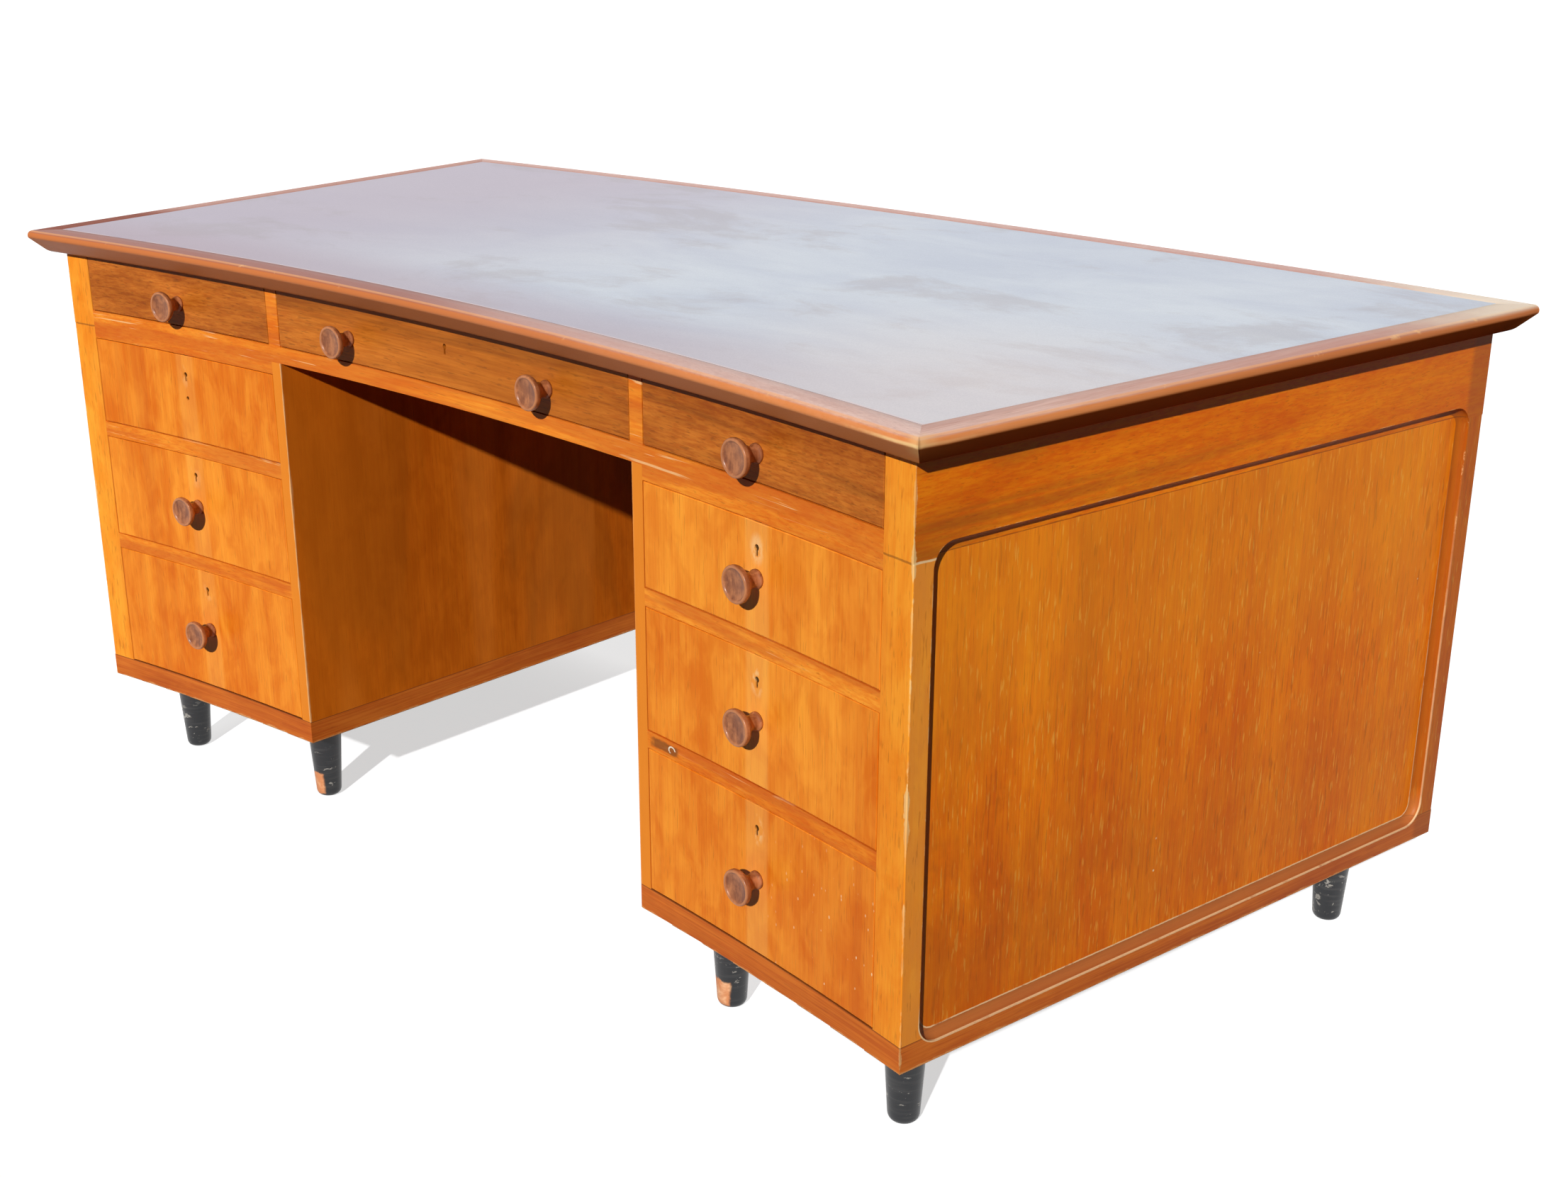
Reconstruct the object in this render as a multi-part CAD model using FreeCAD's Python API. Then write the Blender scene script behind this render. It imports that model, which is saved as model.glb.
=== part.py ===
import FreeCAD, Part
import math
import os

# Kneehole desk with two drawer pedestals, a row of three frieze drawers and an overhanging top.
# Seen from above it is a slice of a fan: the front edge curves inwards, the back edge curves outwards
# and the two ends splay apart towards the back. +Z is up, the drawers face -Y, X runs along the front.
# Lengths are in millimetres. The origin lies on the floor, under the middle of the top's outline.

V = FreeCAD.Vector
UP = V(0, 0, 1)
ACROSS = V(1, 0, 0)

# Plan of the body
FRONT_HALF_WIDTH = 735.9   # from the middle to a front corner
HALF_DEPTH = 416.4         # from mid-depth to the front corners, and to the back ones
END_SPLAY = 9.0            # degrees each end turns outwards
FRONT_SAGITTA = 65.8       # how far the hollow front edge lies behind the line between its corners
BACK_SAGITTA = 40.0        # how far the rounded back stands behind its corners
KNEEHOLE_HALF = 320.0      # from the middle to the face of an inner side
INNER_SIDE_THICK = 17.0
POST_WIDTH = 40.0          # corner posts, across the front and across the back
POST_RETURN = 40.0         # width of the posts on the end faces
BOARD_THICK = 18.0         # back panels, and what is left of an end panel behind its recess

# Heights, from the floor up
LEG_HEIGHT = 119.0
BASE_THICK = 31.0
LOWER_OPENING = 171.0
MIDDLE_OPENING = 142.0
UPPER_OPENING = 117.0
DIVIDER_THICK = 20.0
PEDESTAL_TOP_THICK = 16.0
FRIEZE_BASE_THICK = 21.0
FRIEZE_OPENING = 75.0
TOP_THICK = 30.0

# The top: a panel with an inset writing surface inside a lipping with a rounded edge
TOP_FRONT_OVERHANG = 39.2
TOP_END_OVERHANG = 38.5
TOP_BACK_OVERHANG = 20.6
TOP_BACK_SAGITTA = 44.7
LIPPING_WIDTH = 34.0
SURFACE_THICK = 2.0
NOSE_UPPER_RADIUS = 10.0
TOP_CORNER_RADIUS = 7.0

# The long recess with a cove round it, cut across each end
RECESS_MARGIN = 24.0       # from the front and back corners to the edge of the recess
RECESS_ABOVE_FRIEZE = 14.0  # how far it rises past the joint between pedestal and frieze
RECESS_BELOW_BASE = 9.0    # how far it cuts into the top edge of the base
RECESS_DEPTH = 10.0
COVE_RADIUS = 9.5
RECESS_CORNER_RADIUS = 25.0

# Frieze
PARTITION_THICK = 21.0
FRIEZE_END_THICK = 22.0

# Drawers
DRAWER_GAP = 1.3           # round each front
FRIEZE_TOP_GAP = 2.0       # over the frieze fronts
FRONT_THICK = 20.0
FRONT_ARRIS = 0.8
BOX_SIDE_GAP = 1.5
RUNNING_GAP = 0.3          # under the drawer sides
BOX_TOP_GAP = 7.0
BOX_SIDE_THICK = 11.0
BOX_BOTTOM_THICK = 6.0
BOX_BOTTOM_RISE = 8.0      # under the bottom, between the sides
PEDESTAL_BOX_DEPTH = 600.0
FRIEZE_BOX_DEPTH = 560.0
GUIDE_WIDTH = 12.0
GUIDE_HEIGHT = 20.0

# Knobs, turned in one piece with the dowel that holds them
KNOB_RADIUS = 19.5
KNOB_HEIGHT = 29.0
KNOB_BASE_RADIUS = 10.0
KNOB_BASE_HEIGHT = 2.0
KNOB_NECK_RADIUS = 8.0
KNOB_WAIST_HEIGHT = 9.0
KNOB_FLARE_HEIGHT = 18.0   # where the neck has spread half-way to the head
KNOB_SHOULDER_HEIGHT = 21.0
KNOB_RIM_WIDTH = 3.0
KNOB_RIM_ROUND = 2.0
KNOB_DISH_DEPTH = 3.0
KNOB_DOWEL_RADIUS = 4.5
KNOB_DOWEL_LENGTH = 16.0
DOWEL_CLEARANCE = 0.15
KNOB_SEAT_GAP = 0.05       # the flat base clears the hollow front at its edge
CENTRE_KNOB_INSET = 138.0  # from the sides of the centre drawer's opening
FRIEZE_KNOB_DROP = 7.5     # below the middle of the frieze opening
MISSING_KNOB_RADIUS = 2.6  # screw hole left where one knob is lost

# Locks, let into the back of the fronts
KEYHOLE_DROP = 25.5        # from the front's upper edge to the keyhole's round end
KEYHOLE_RADIUS = 3.2
KEYHOLE_SLOT = 3.2
KEYHOLE_LENGTH = 9.0
LOCK_WIDTH = 50.0
LOCK_HEIGHT = 38.0
LOCK_DEPTH = 10.0
LOCK_PLATE_OVERLAP = 6.0
LOCK_PLATE_THICK = 2.0
LOCK_CLEARANCE = 0.3

# Legs
LEG_TOP_RADIUS = 24.0
LEG_FOOT_RADIUS = 16.5
LEG_FOOT_ROUND = 8.0
LEG_INSET = 74.0           # from the pedestal's faces to a leg's axis

PLAN_REACH = 2000.0        # beyond any piece of the desk
ARRIS_RADIUS = 1.2         # softened corners of the posts
BASE_EDGE_RADIUS = 2.0     # rounded lower edge of the pedestals
SAME_PLACE = 0.01          # two points nearer than this are one
SPARE = 1.0                # what a cutting shape reaches past the piece it cuts

BASE_Z = LEG_HEIGHT
LOWER_Z = BASE_Z + BASE_THICK
MIDDLE_Z = LOWER_Z + LOWER_OPENING + DIVIDER_THICK
UPPER_Z = MIDDLE_Z + MIDDLE_OPENING + DIVIDER_THICK
PEDESTAL_TOP_Z = UPPER_Z + UPPER_OPENING
FRIEZE_Z = PEDESTAL_TOP_Z + PEDESTAL_TOP_THICK
FRIEZE_DRAWER_Z = FRIEZE_Z + FRIEZE_BASE_THICK
TOP_Z = FRIEZE_DRAWER_Z + FRIEZE_OPENING
DESK_HEIGHT = TOP_Z + TOP_THICK

OPENING_INNER_X = KNEEHOLE_HALF + INNER_SIDE_THICK
OPENING_OUTER_X = FRONT_HALF_WIDTH - POST_WIDTH
PARTITION_X = KNEEHOLE_HALF + INNER_SIDE_THICK / 2
PARTITION_INNER_X = PARTITION_X - PARTITION_THICK / 2
PARTITION_OUTER_X = PARTITION_X + PARTITION_THICK / 2

SPLAY = math.radians(END_SPLAY)
END_ALONG = V(math.sin(SPLAY), math.cos(SPLAY), 0)
END_INWARD = V(-math.cos(SPLAY), math.sin(SPLAY), 0)
FRONT_CORNER = V(FRONT_HALF_WIDTH, -HALF_DEPTH, 0)
END_LENGTH = 2 * HALF_DEPTH / math.cos(SPLAY)


def circle_through(corner, sagitta):
    """Centre height on the Y axis and radius of the arc that joins a corner to its mirror image,
    with its middle the sagitta behind them."""
    radius = (corner.x ** 2 + sagitta ** 2) / (2 * sagitta)
    return corner.y + sagitta - radius, radius


def arc_y(circle, x):
    centre, radius = circle
    return centre + math.sqrt(radius ** 2 - x ** 2)


def grown(circle, amount):
    """The circle moved towards the back by a constant distance along its normals."""
    return circle[0], circle[1] + amount


def end_point(along, inward):
    """A point in plan, measured from the right-hand front corner along the end face and into it."""
    return FRONT_CORNER + END_ALONG * along + END_INWARD * inward


def end_at_y(inward, y):
    """Where a line parallel to the right end, the given distance inside it, reaches a depth y."""
    start = end_point(0, inward)
    return start + END_ALONG * ((y - start.y) / END_ALONG.y)


def end_meets(circle, inward):
    """Where a line parallel to the right end crosses a front or back arc."""
    start = end_point(0, inward) - V(0, circle[0], 0)
    half = start.dot(END_ALONG)
    along = -half + math.sqrt(half ** 2 - start.dot(start) + circle[1] ** 2)
    return end_point(along, inward)


def mirrored(point):
    return V(-point.x, point.y, point.z)


def lifted(point, z):
    return V(point.x, point.y, z)


def prism(edges, low, high):
    """The solid over a closed plan outline between two heights."""
    face = Part.Face(Part.Wire(edges))
    face.translate(UP * low)
    return face.extrude(UP * (high - low))


def polygon(points, low, high):
    loop = points + points[:1]
    return prism([Part.LineSegment(a, b).toShape() for a, b in zip(loop, loop[1:])], low, high)


def fan_prism(front, back, inset, low, high):
    """A prism over the fan-shaped plan between two arcs and the end lines, inset from the ends."""
    near = end_meets(front, inset)
    far = end_meets(back, inset)
    edges = [
        Part.Arc(mirrored(near), V(0, arc_y(front, 0), 0), near).toShape(),
        Part.LineSegment(near, far).toShape(),
        Part.Arc(far, V(0, arc_y(back, 0), 0), mirrored(far)).toShape(),
        Part.LineSegment(mirrored(far), mirrored(near)).toShape(),
    ]
    return prism(edges, low, high)


def curved_board(circle, x_low, x_high, y_low, y_high, low, high):
    """A board that follows an arc, between two vertical planes, of constant thickness along Y."""
    middle = (x_low + x_high) / 2

    def arc(shift):
        points = [V(x, arc_y(circle, x) + shift, 0) for x in (x_low, middle, x_high)]
        return Part.Arc(*points).toShape(), points[0], points[2]

    near, near_left, near_right = arc(y_low)
    far, far_left, far_right = arc(y_high)
    edges = [
        near,
        Part.LineSegment(near_right, far_right).toShape(),
        far,
        Part.LineSegment(far_left, near_left).toShape(),
    ]
    return prism(edges, low, high)


def block(x_low, x_high, y_low, y_high, low, high):
    return Part.makeBox(x_high - x_low, y_high - y_low, high - low, V(x_low, y_low, low))


def flipped(shape):
    """The same piece for the left-hand half of the desk."""
    return shape.mirror(V(0, 0, 0), ACROSS)


BODY_FRONT = circle_through(FRONT_CORNER, FRONT_SAGITTA)
BODY_BACK = circle_through(end_at_y(0, HALF_DEPTH), BACK_SAGITTA)
TOP_FRONT = circle_through(end_at_y(-TOP_END_OVERHANG, -HALF_DEPTH - TOP_FRONT_OVERHANG), FRONT_SAGITTA)
TOP_BACK = circle_through(end_at_y(-TOP_END_OVERHANG, HALF_DEPTH + TOP_BACK_OVERHANG), TOP_BACK_SAGITTA)


def body(low, high):
    return fan_prism(BODY_FRONT, BODY_BACK, 0, low, high)


def recess_cutter():
    """What is cut from the right end: a rounded rectangle whose inner edge is filleted into a cove."""
    width = END_LENGTH - 2 * RECESS_MARGIN
    low = LOWER_Z - RECESS_BELOW_BASE
    high = FRIEZE_Z + RECESS_ABOVE_FRIEZE
    clear = RECESS_DEPTH
    cutter = Part.makeBox(width, RECESS_DEPTH + clear, high - low, V(RECESS_MARGIN, -clear, low))
    upright = [e for e in cutter.Edges if e.BoundBox.YLength > RECESS_DEPTH]
    cutter = cutter.makeFillet(RECESS_CORNER_RADIUS, upright)
    inner = [e for e in cutter.Edges if e.BoundBox.YMin > RECESS_DEPTH / 2]
    cutter = cutter.makeFillet(COVE_RADIUS, inner)
    cutter.Placement = FreeCAD.Placement(FRONT_CORNER, FreeCAD.Rotation(UP, 90 - END_SPLAY))
    return cutter


def front_post_plan(low, high):
    x = OPENING_OUTER_X
    return polygon(
        [V(x, -PLAN_REACH, 0), V(PLAN_REACH, -PLAN_REACH, 0), end_point(POST_RETURN, -PLAN_REACH),
         end_point(POST_RETURN, 0), V(x, end_point(POST_RETURN, 0).y, 0)], low, high)


def back_post_plan(low, high):
    corner = end_point(END_LENGTH, 0)
    x = corner.x - POST_WIDTH
    near = end_point(END_LENGTH - POST_RETURN, 0)
    return polygon(
        [near, end_point(END_LENGTH - POST_RETURN, -PLAN_REACH), V(PLAN_REACH, PLAN_REACH, 0),
         V(x, PLAN_REACH, 0), V(x, near.y, 0)], low, high)


def end_strip(thick, low, high):
    """The band of the body's plan within a distance of the right end."""
    return polygon([end_point(-PLAN_REACH, thick), end_point(-PLAN_REACH, -PLAN_REACH),
                    end_point(PLAN_REACH, -PLAN_REACH), end_point(PLAN_REACH, thick)], low, high)


def back_strip(low, high):
    """The band of the body's plan within a board's thickness of the back."""
    corner = end_meets(BODY_BACK, 0)
    return curved_board(BODY_BACK, -corner.x, corner.x, -BOARD_THICK, PLAN_REACH, low, high)


def outer_half(x_low, low, high):
    return block(x_low, PLAN_REACH, -PLAN_REACH, PLAN_REACH, low, high)


def upright_edges(shape, point):
    """The vertical edges of a solid at a point in plan."""
    boxes = [(e, e.BoundBox) for e in shape.Edges]
    return [e for e, b in boxes if b.ZLength > SAME_PLACE and b.XLength < SAME_PLACE
            and abs(b.XMin - point.x) < SAME_PLACE and abs(b.YMin - point.y) < SAME_PLACE]


def pedestal_parts(cutter):
    """The carcass of the right-hand pedestal, from the base up to the joint under the frieze."""
    low, high = LOWER_Z, FRIEZE_Z
    ends = end_strip(RECESS_DEPTH + BOARD_THICK, low, high)
    front_post = body(low, high).common(front_post_plan(low, high)).cut(cutter)
    back_post = body(low, high).common(back_post_plan(low, high)).cut(cutter)
    front_post = front_post.makeFillet(ARRIS_RADIUS, upright_edges(front_post, FRONT_CORNER))
    back_post = back_post.makeFillet(ARRIS_RADIUS, upright_edges(back_post, end_meets(BODY_BACK, 0)))
    inner_side = body(low, high).common(outer_half(KNEEHOLE_HALF, low, high))
    inner_side = inner_side.cut(outer_half(OPENING_INNER_X, low, high))
    posts = front_post_plan(low, high).fuse(back_post_plan(low, high))
    end_panel = body(low, high).common(ends).cut(posts).cut(cutter)
    back_panel = body(low, high).common(outer_half(OPENING_INNER_X, low, high))
    back_panel = back_panel.common(back_strip(low, high)).cut(posts).cut(ends)
    inside = body(low, high).common(outer_half(OPENING_INNER_X, low, high))
    inside = inside.cut(posts).cut(ends).cut(back_strip(low, high))
    front_edge = body(low, high).common(block(OPENING_INNER_X, OPENING_OUTER_X, -PLAN_REACH, 0, low, high))
    inside = inside.fuse(front_edge)
    return {
        "front_post": front_post,
        "back_post": back_post,
        "inner_side": inner_side,
        "end_panel": end_panel,
        "back_panel": back_panel,
        "base": pedestal_base(cutter),
        "dividers": pedestal_dividers(inside),
    }


def pedestal_base(cutter):
    """The thick bottom, with its lower edge rounded all round."""
    low, high = BASE_Z, LOWER_Z
    base = body(low, high).common(outer_half(KNEEHOLE_HALF, low, high))
    lower = [e for e in base.Edges if e.BoundBox.ZMax < low + SAME_PLACE]
    return base.makeFillet(BASE_EDGE_RADIUS, lower).cut(cutter)


def guide(floor, box_depth):
    """A strip that keeps a drawer straight, on the floor of its opening behind the corner post."""
    x = OPENING_OUTER_X
    near = end_point(POST_RETURN, 0).y
    far = arc_y(BODY_FRONT, OPENING_INNER_X) + box_depth
    return block(x, x + GUIDE_WIDTH, near, far, floor, floor + GUIDE_HEIGHT)


def pedestal_dividers(inside):
    """The two dustboards between the drawers, the pedestal's top board and the drawer guides."""
    boards = [
        (MIDDLE_Z - DIVIDER_THICK, MIDDLE_Z),
        (UPPER_Z - DIVIDER_THICK, UPPER_Z),
        (PEDESTAL_TOP_Z, FRIEZE_Z),
    ]
    wide = PLAN_REACH
    solids = [inside.common(block(0, wide, -wide, wide, low, high)) for low, high in boards]
    solids += [guide(floor, PEDESTAL_BOX_DEPTH) for floor in (LOWER_Z, MIDDLE_Z, UPPER_Z)]
    return Part.makeCompound(solids)


def frieze_parts(cutter):
    """The frieze: its base, back, splayed ends, front posts and the partitions between the drawers."""
    low, high = FRIEZE_Z, TOP_Z
    shell = body(low, high)
    wedge = mitre_wedge(low, high)
    end = shell.common(end_strip(FRIEZE_END_THICK, low, high)).cut(wedge).cut(cutter)
    post = shell.common(front_post_plan(low, high)).cut(end_strip(FRIEZE_END_THICK, low, high).cut(wedge))
    ends = end_strip(FRIEZE_END_THICK, low, high)
    ends = ends.fuse(flipped(ends))
    back = shell.common(back_strip(low, high)).cut(ends)
    posts = front_post_plan(low, high)
    base = body(low, FRIEZE_DRAWER_Z).cut(ends).cut(back_strip(low, high)).cut(posts).cut(flipped(posts))
    inside = shell.cut(back_strip(low, high))
    partition = inside.common(block(PARTITION_INNER_X, PARTITION_OUTER_X, -PLAN_REACH, PLAN_REACH,
                                    FRIEZE_DRAWER_Z, high))
    runner = guide(FRIEZE_DRAWER_Z, FRIEZE_BOX_DEPTH)
    return {
        "frieze_base": Part.makeCompound([base, runner, flipped(runner)]),
        "frieze_back": back,
        "frieze_end_right": end,
        "frieze_end_left": flipped(end),
        "frieze_post_right": post,
        "frieze_post_left": flipped(post),
        "frieze_partition_right": partition,
        "frieze_partition_left": flipped(partition),
    }


def mitre_wedge(low, high):
    """The front side of the mitre between a frieze end and its corner post."""
    x = FRONT_HALF_WIDTH
    along_front = V(-1, x / (arc_y(BODY_FRONT, x) - BODY_FRONT[0]), 0).normalize()
    inward = (along_front + END_ALONG).normalize()
    return polygon([FRONT_CORNER - inward * PLAN_REACH, FRONT_CORNER + inward * PLAN_REACH,
                    V(-PLAN_REACH, -PLAN_REACH, 0)], low, high)


def lipping_profile(inner, outward):
    """Upright section of the lipping: square inside, with a quarter of an ellipse as its under side
    and a smaller quarter of a circle above. It starts at a point of the inner edge and reaches the
    lipping's width outwards."""
    def at(out, height):
        return lifted(inner + outward * out, TOP_Z + height)

    half = math.sqrt(0.5)
    up, wide = NOSE_UPPER_RADIUS, LIPPING_WIDTH
    low = TOP_THICK - up
    under = Part.Ellipse(at(wide, low), at(0, 0), at(0, low))
    edges = [
        Part.ArcOfEllipse(under, 0, math.pi / 2),
        Part.Arc(at(wide, low), at(wide - up + up * half, low + up * half), at(wide - up, TOP_THICK)),
        Part.LineSegment(at(wide - up, TOP_THICK), at(0, TOP_THICK)),
        Part.LineSegment(at(0, TOP_THICK), at(0, 0)),
    ]
    return Part.Face(Part.Wire([e.toShape() for e in edges]))


def curved_lipping(circle, sign):
    """A length of lipping turned about the centre of an arc; sign is -1 at the front, 1 at the back."""
    centre = V(0, circle[0], 0)
    sweep = 2 * math.degrees(math.asin(PLAN_REACH / 2 / circle[1]))
    start = V(0, circle[1] - sign * LIPPING_WIDTH, 0) + centre
    face = lipping_profile(start, V(0, sign, 0))
    face.rotate(centre, UP, -sweep / 2)
    return face.revolve(centre, UP, sweep)


def straight_lipping():
    """The lipping along the right end, longer than it needs to be before it is mitred."""
    spare = 2 * LIPPING_WIDTH
    start = end_meets(TOP_FRONT, LIPPING_WIDTH - TOP_END_OVERHANG) - END_ALONG * spare
    stop = end_meets(TOP_BACK, LIPPING_WIDTH - TOP_END_OVERHANG) + END_ALONG * spare
    return lipping_profile(start, END_INWARD * -1).extrude(stop - start)


def mitre_cut(outer, inner, other_outer, other_inner):
    """A prism that keeps one side of the top: four-sided, bounded by the mitres at its two corners."""
    reach = 2 * LIPPING_WIDTH
    a = outer + (outer - inner) * reach
    b = other_outer + (other_outer - other_inner) * reach
    return polygon([a, inner, other_inner, b], TOP_Z, DESK_HEIGHT)


def top_parts():
    """The panel, the inset writing surface and the four mitred lengths of lipping."""
    inset = LIPPING_WIDTH
    inner_front, inner_back = grown(TOP_FRONT, inset), grown(TOP_BACK, -inset)
    near, far = end_meets(TOP_FRONT, -TOP_END_OVERHANG), end_meets(TOP_BACK, -TOP_END_OVERHANG)
    near_in = end_meets(inner_front, inset - TOP_END_OVERHANG)
    far_in = end_meets(inner_back, inset - TOP_END_OVERHANG)
    field = fan_prism(inner_front, inner_back, inset - TOP_END_OVERHANG, TOP_Z, DESK_HEIGHT)
    outline = fan_prism(TOP_FRONT, TOP_BACK, -TOP_END_OVERHANG, TOP_Z, DESK_HEIGHT)
    corners = [e for e in outline.Edges if e.BoundBox.ZLength > TOP_THICK / 2]
    outline = outline.makeFillet(TOP_CORNER_RADIUS, corners)
    right = mitre_cut(near, near_in, far, far_in)
    sides = right.fuse(flipped(right))
    end = straight_lipping().common(right).common(outline)
    front = curved_lipping(TOP_FRONT, -1).cut(sides).cut(field).common(outline)
    back = curved_lipping(TOP_BACK, 1).cut(sides).cut(field).common(outline)
    return {
        "desktop_panel": field.common(outer_box(TOP_Z, DESK_HEIGHT - SURFACE_THICK)),
        "writing_surface": field.common(outer_box(DESK_HEIGHT - SURFACE_THICK, DESK_HEIGHT)),
        "desktop_lipping": Part.makeCompound([front, back, end, flipped(end)]),
    }


def outer_box(low, high):
    return block(-PLAN_REACH, PLAN_REACH, -PLAN_REACH, PLAN_REACH, low, high)


def front_normal(x):
    """The direction square to the curved front, out of the desk, at a distance from the middle."""
    centre, radius = BODY_FRONT
    return V(-x / radius, -(arc_y(BODY_FRONT, x) - centre) / radius, 0)


def seated(shape, x, z, gap=0.0):
    """A turned piece made along +Z, stood on the curved front with its axis square to it."""
    normal = front_normal(x)
    place = V(x, arc_y(BODY_FRONT, x), z) + normal * gap
    shape.Placement = FreeCAD.Placement(place, FreeCAD.Rotation(UP, normal))
    return shape


def knob():
    """A turned knob: base, waisted neck, disc-like head with a raised rim round a dished face."""
    head, rim, top = KNOB_RADIUS, KNOB_RIM_ROUND, KNOB_HEIGHT
    base, neck, waist = KNOB_BASE_RADIUS, KNOB_NECK_RADIUS, KNOB_WAIST_HEIGHT
    dish = head - KNOB_RIM_WIDTH
    ball = (dish ** 2 + KNOB_DISH_DEPTH ** 2) / (2 * KNOB_DISH_DEPTH)
    dish_middle = top - KNOB_DISH_DEPTH + ball - math.sqrt(ball ** 2 - dish ** 2 / 4)
    corner = rim * (1 - math.sqrt(0.5))
    flare, spread = KNOB_FLARE_HEIGHT, (neck + head) / 2

    def at(radius, height):
        return V(radius, 0, height)

    edges = [
        Part.LineSegment(at(0, -KNOB_DOWEL_LENGTH), at(KNOB_DOWEL_RADIUS, -KNOB_DOWEL_LENGTH)),
        Part.LineSegment(at(KNOB_DOWEL_RADIUS, -KNOB_DOWEL_LENGTH), at(KNOB_DOWEL_RADIUS, 0)),
        Part.LineSegment(at(KNOB_DOWEL_RADIUS, 0), at(base, 0)),
        Part.LineSegment(at(base, 0), at(base, KNOB_BASE_HEIGHT)),
        Part.Arc(at(base, KNOB_BASE_HEIGHT), at(neck, waist), at(spread, flare)),
        Part.Arc(at(spread, flare), at(head - rim, KNOB_SHOULDER_HEIGHT - rim / 2),
                 at(head, KNOB_SHOULDER_HEIGHT + rim)),
        Part.LineSegment(at(head, KNOB_SHOULDER_HEIGHT + rim), at(head, top - rim)),
        Part.Arc(at(head, top - rim), at(head - corner, top - corner), at(head - rim, top)),
        Part.LineSegment(at(head - rim, top), at(dish, top)),
        Part.Arc(at(dish, top), at(dish / 2, dish_middle), at(0, top - KNOB_DISH_DEPTH)),
        Part.LineSegment(at(0, top - KNOB_DISH_DEPTH), at(0, -KNOB_DOWEL_LENGTH)),
    ]
    face = Part.Face(Part.Wire([e.toShape() for e in edges]))
    return face.revolve(V(0, 0, 0), UP, 360)


def keyhole_cutter(x, z):
    """A round hole with a slot below it, cut right through a front along Y."""
    y = arc_y(BODY_FRONT, x)
    start = V(x, y - FRONT_THICK, z)
    bore = Part.makeCylinder(KEYHOLE_RADIUS, 3 * FRONT_THICK, start, V(0, 1, 0))
    half = KEYHOLE_SLOT / 2
    slot = block(x - half, x + half, y - FRONT_THICK, y + 2 * FRONT_THICK, z - KEYHOLE_LENGTH, z)
    return bore.fuse(slot)


def lock_block(x, top, clearance):
    """A till lock: its case against the back of the front and its plate along the upper edge."""
    back = arc_y(BODY_FRONT, x) + FRONT_THICK
    half = LOCK_WIDTH / 2 + clearance
    near = back - LOCK_DEPTH - clearance
    case = block(x - half, x + half, near, back, top - LOCK_HEIGHT - clearance, top)
    wide = half + LOCK_PLATE_OVERLAP
    plate = block(x - wide, x + wide, near, back, top - LOCK_PLATE_THICK - clearance, top)
    return case.fuse(plate).removeSplitter()


def drawer_front(x_low, x_high, low, high, knobs, keyhole_x, hole_radius):
    """A curved front with its knob holes, its keyhole and the pocket for its lock."""
    front = curved_board(BODY_FRONT, x_low, x_high, 0, FRONT_THICK, low, high)
    outer = [e for e in front.Edges if is_outer_edge(e)]
    front = front.makeFillet(FRONT_ARRIS, outer)
    for x, z in knobs:
        bore = Part.makeCylinder(hole_radius, 3 * FRONT_THICK, V(0, 0, -2 * FRONT_THICK), UP)
        front = front.cut(seated(bore, x, z))
    if keyhole_x is not None:
        front = front.cut(keyhole_cutter(keyhole_x, high - KEYHOLE_DROP))
        front = front.cut(lock_pocket(keyhole_x, high))
    return front


def lock_pocket(x, top):
    """Room for a lock, open at the front's back face and upper edge."""
    pocket = lock_block(x, top, LOCK_CLEARANCE)
    return pocket.fuse(pocket.translated(V(0, FRONT_THICK / 2, 0))).fuse(pocket.translated(UP * FRONT_ARRIS))


def is_outer_edge(edge):
    """Whether all of an edge lies on the body's curved front."""
    ends = [edge.valueAt(edge.FirstParameter), edge.valueAt(edge.LastParameter)]
    return all(abs(arc_y(BODY_FRONT, p.x) - p.y) < SAME_PLACE for p in ends)


def drawer_box(x_low, x_high, floor, ceiling, depth):
    """Sides, back and raised bottom behind a front, open at the top. The front ends follow its curve."""
    left, right = x_low + BOX_SIDE_GAP, x_high - BOX_SIDE_GAP
    low, high = floor + RUNNING_GAP, ceiling - BOX_TOP_GAP
    deepest = arc_y(BODY_FRONT, min(abs(left), abs(right)) if left * right > 0 else 0)
    back = deepest + depth
    near = -2 * HALF_DEPTH
    box = block(left, right, near, back, low, high)
    bottom = low + BOX_BOTTOM_RISE
    inner_left, inner_right = left + BOX_SIDE_THICK, right - BOX_SIDE_THICK
    hollow = block(inner_left, inner_right, near, back - BOX_SIDE_THICK, bottom + BOX_BOTTOM_THICK, high)
    under = block(inner_left, inner_right, near, back, low, bottom)
    ahead = curved_board(BODY_FRONT, left - SPARE, right + SPARE, 2 * near, FRONT_THICK, low, high)
    return box.cut(hollow).cut(under).cut(ahead)


def drawer_parts(name, side, floor, opening, depth, knob_drop, missing_knob):
    """One pedestal or side frieze drawer, on the right (side 1) or the left (side -1)."""
    inner = OPENING_INNER_X if floor < FRIEZE_Z else PARTITION_OUTER_X
    x_low, x_high = sorted((side * inner, side * OPENING_OUTER_X))
    x = side * (OPENING_INNER_X + OPENING_OUTER_X) / 2
    locked = floor < FRIEZE_Z
    top_gap = DRAWER_GAP if locked else FRIEZE_TOP_GAP
    knobs = [(x, floor + opening / 2 - knob_drop)]
    return drawer_set(name, (x_low, x_high), floor, opening, depth, knobs, x if locked else None,
                      top_gap, missing_knob)


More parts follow.
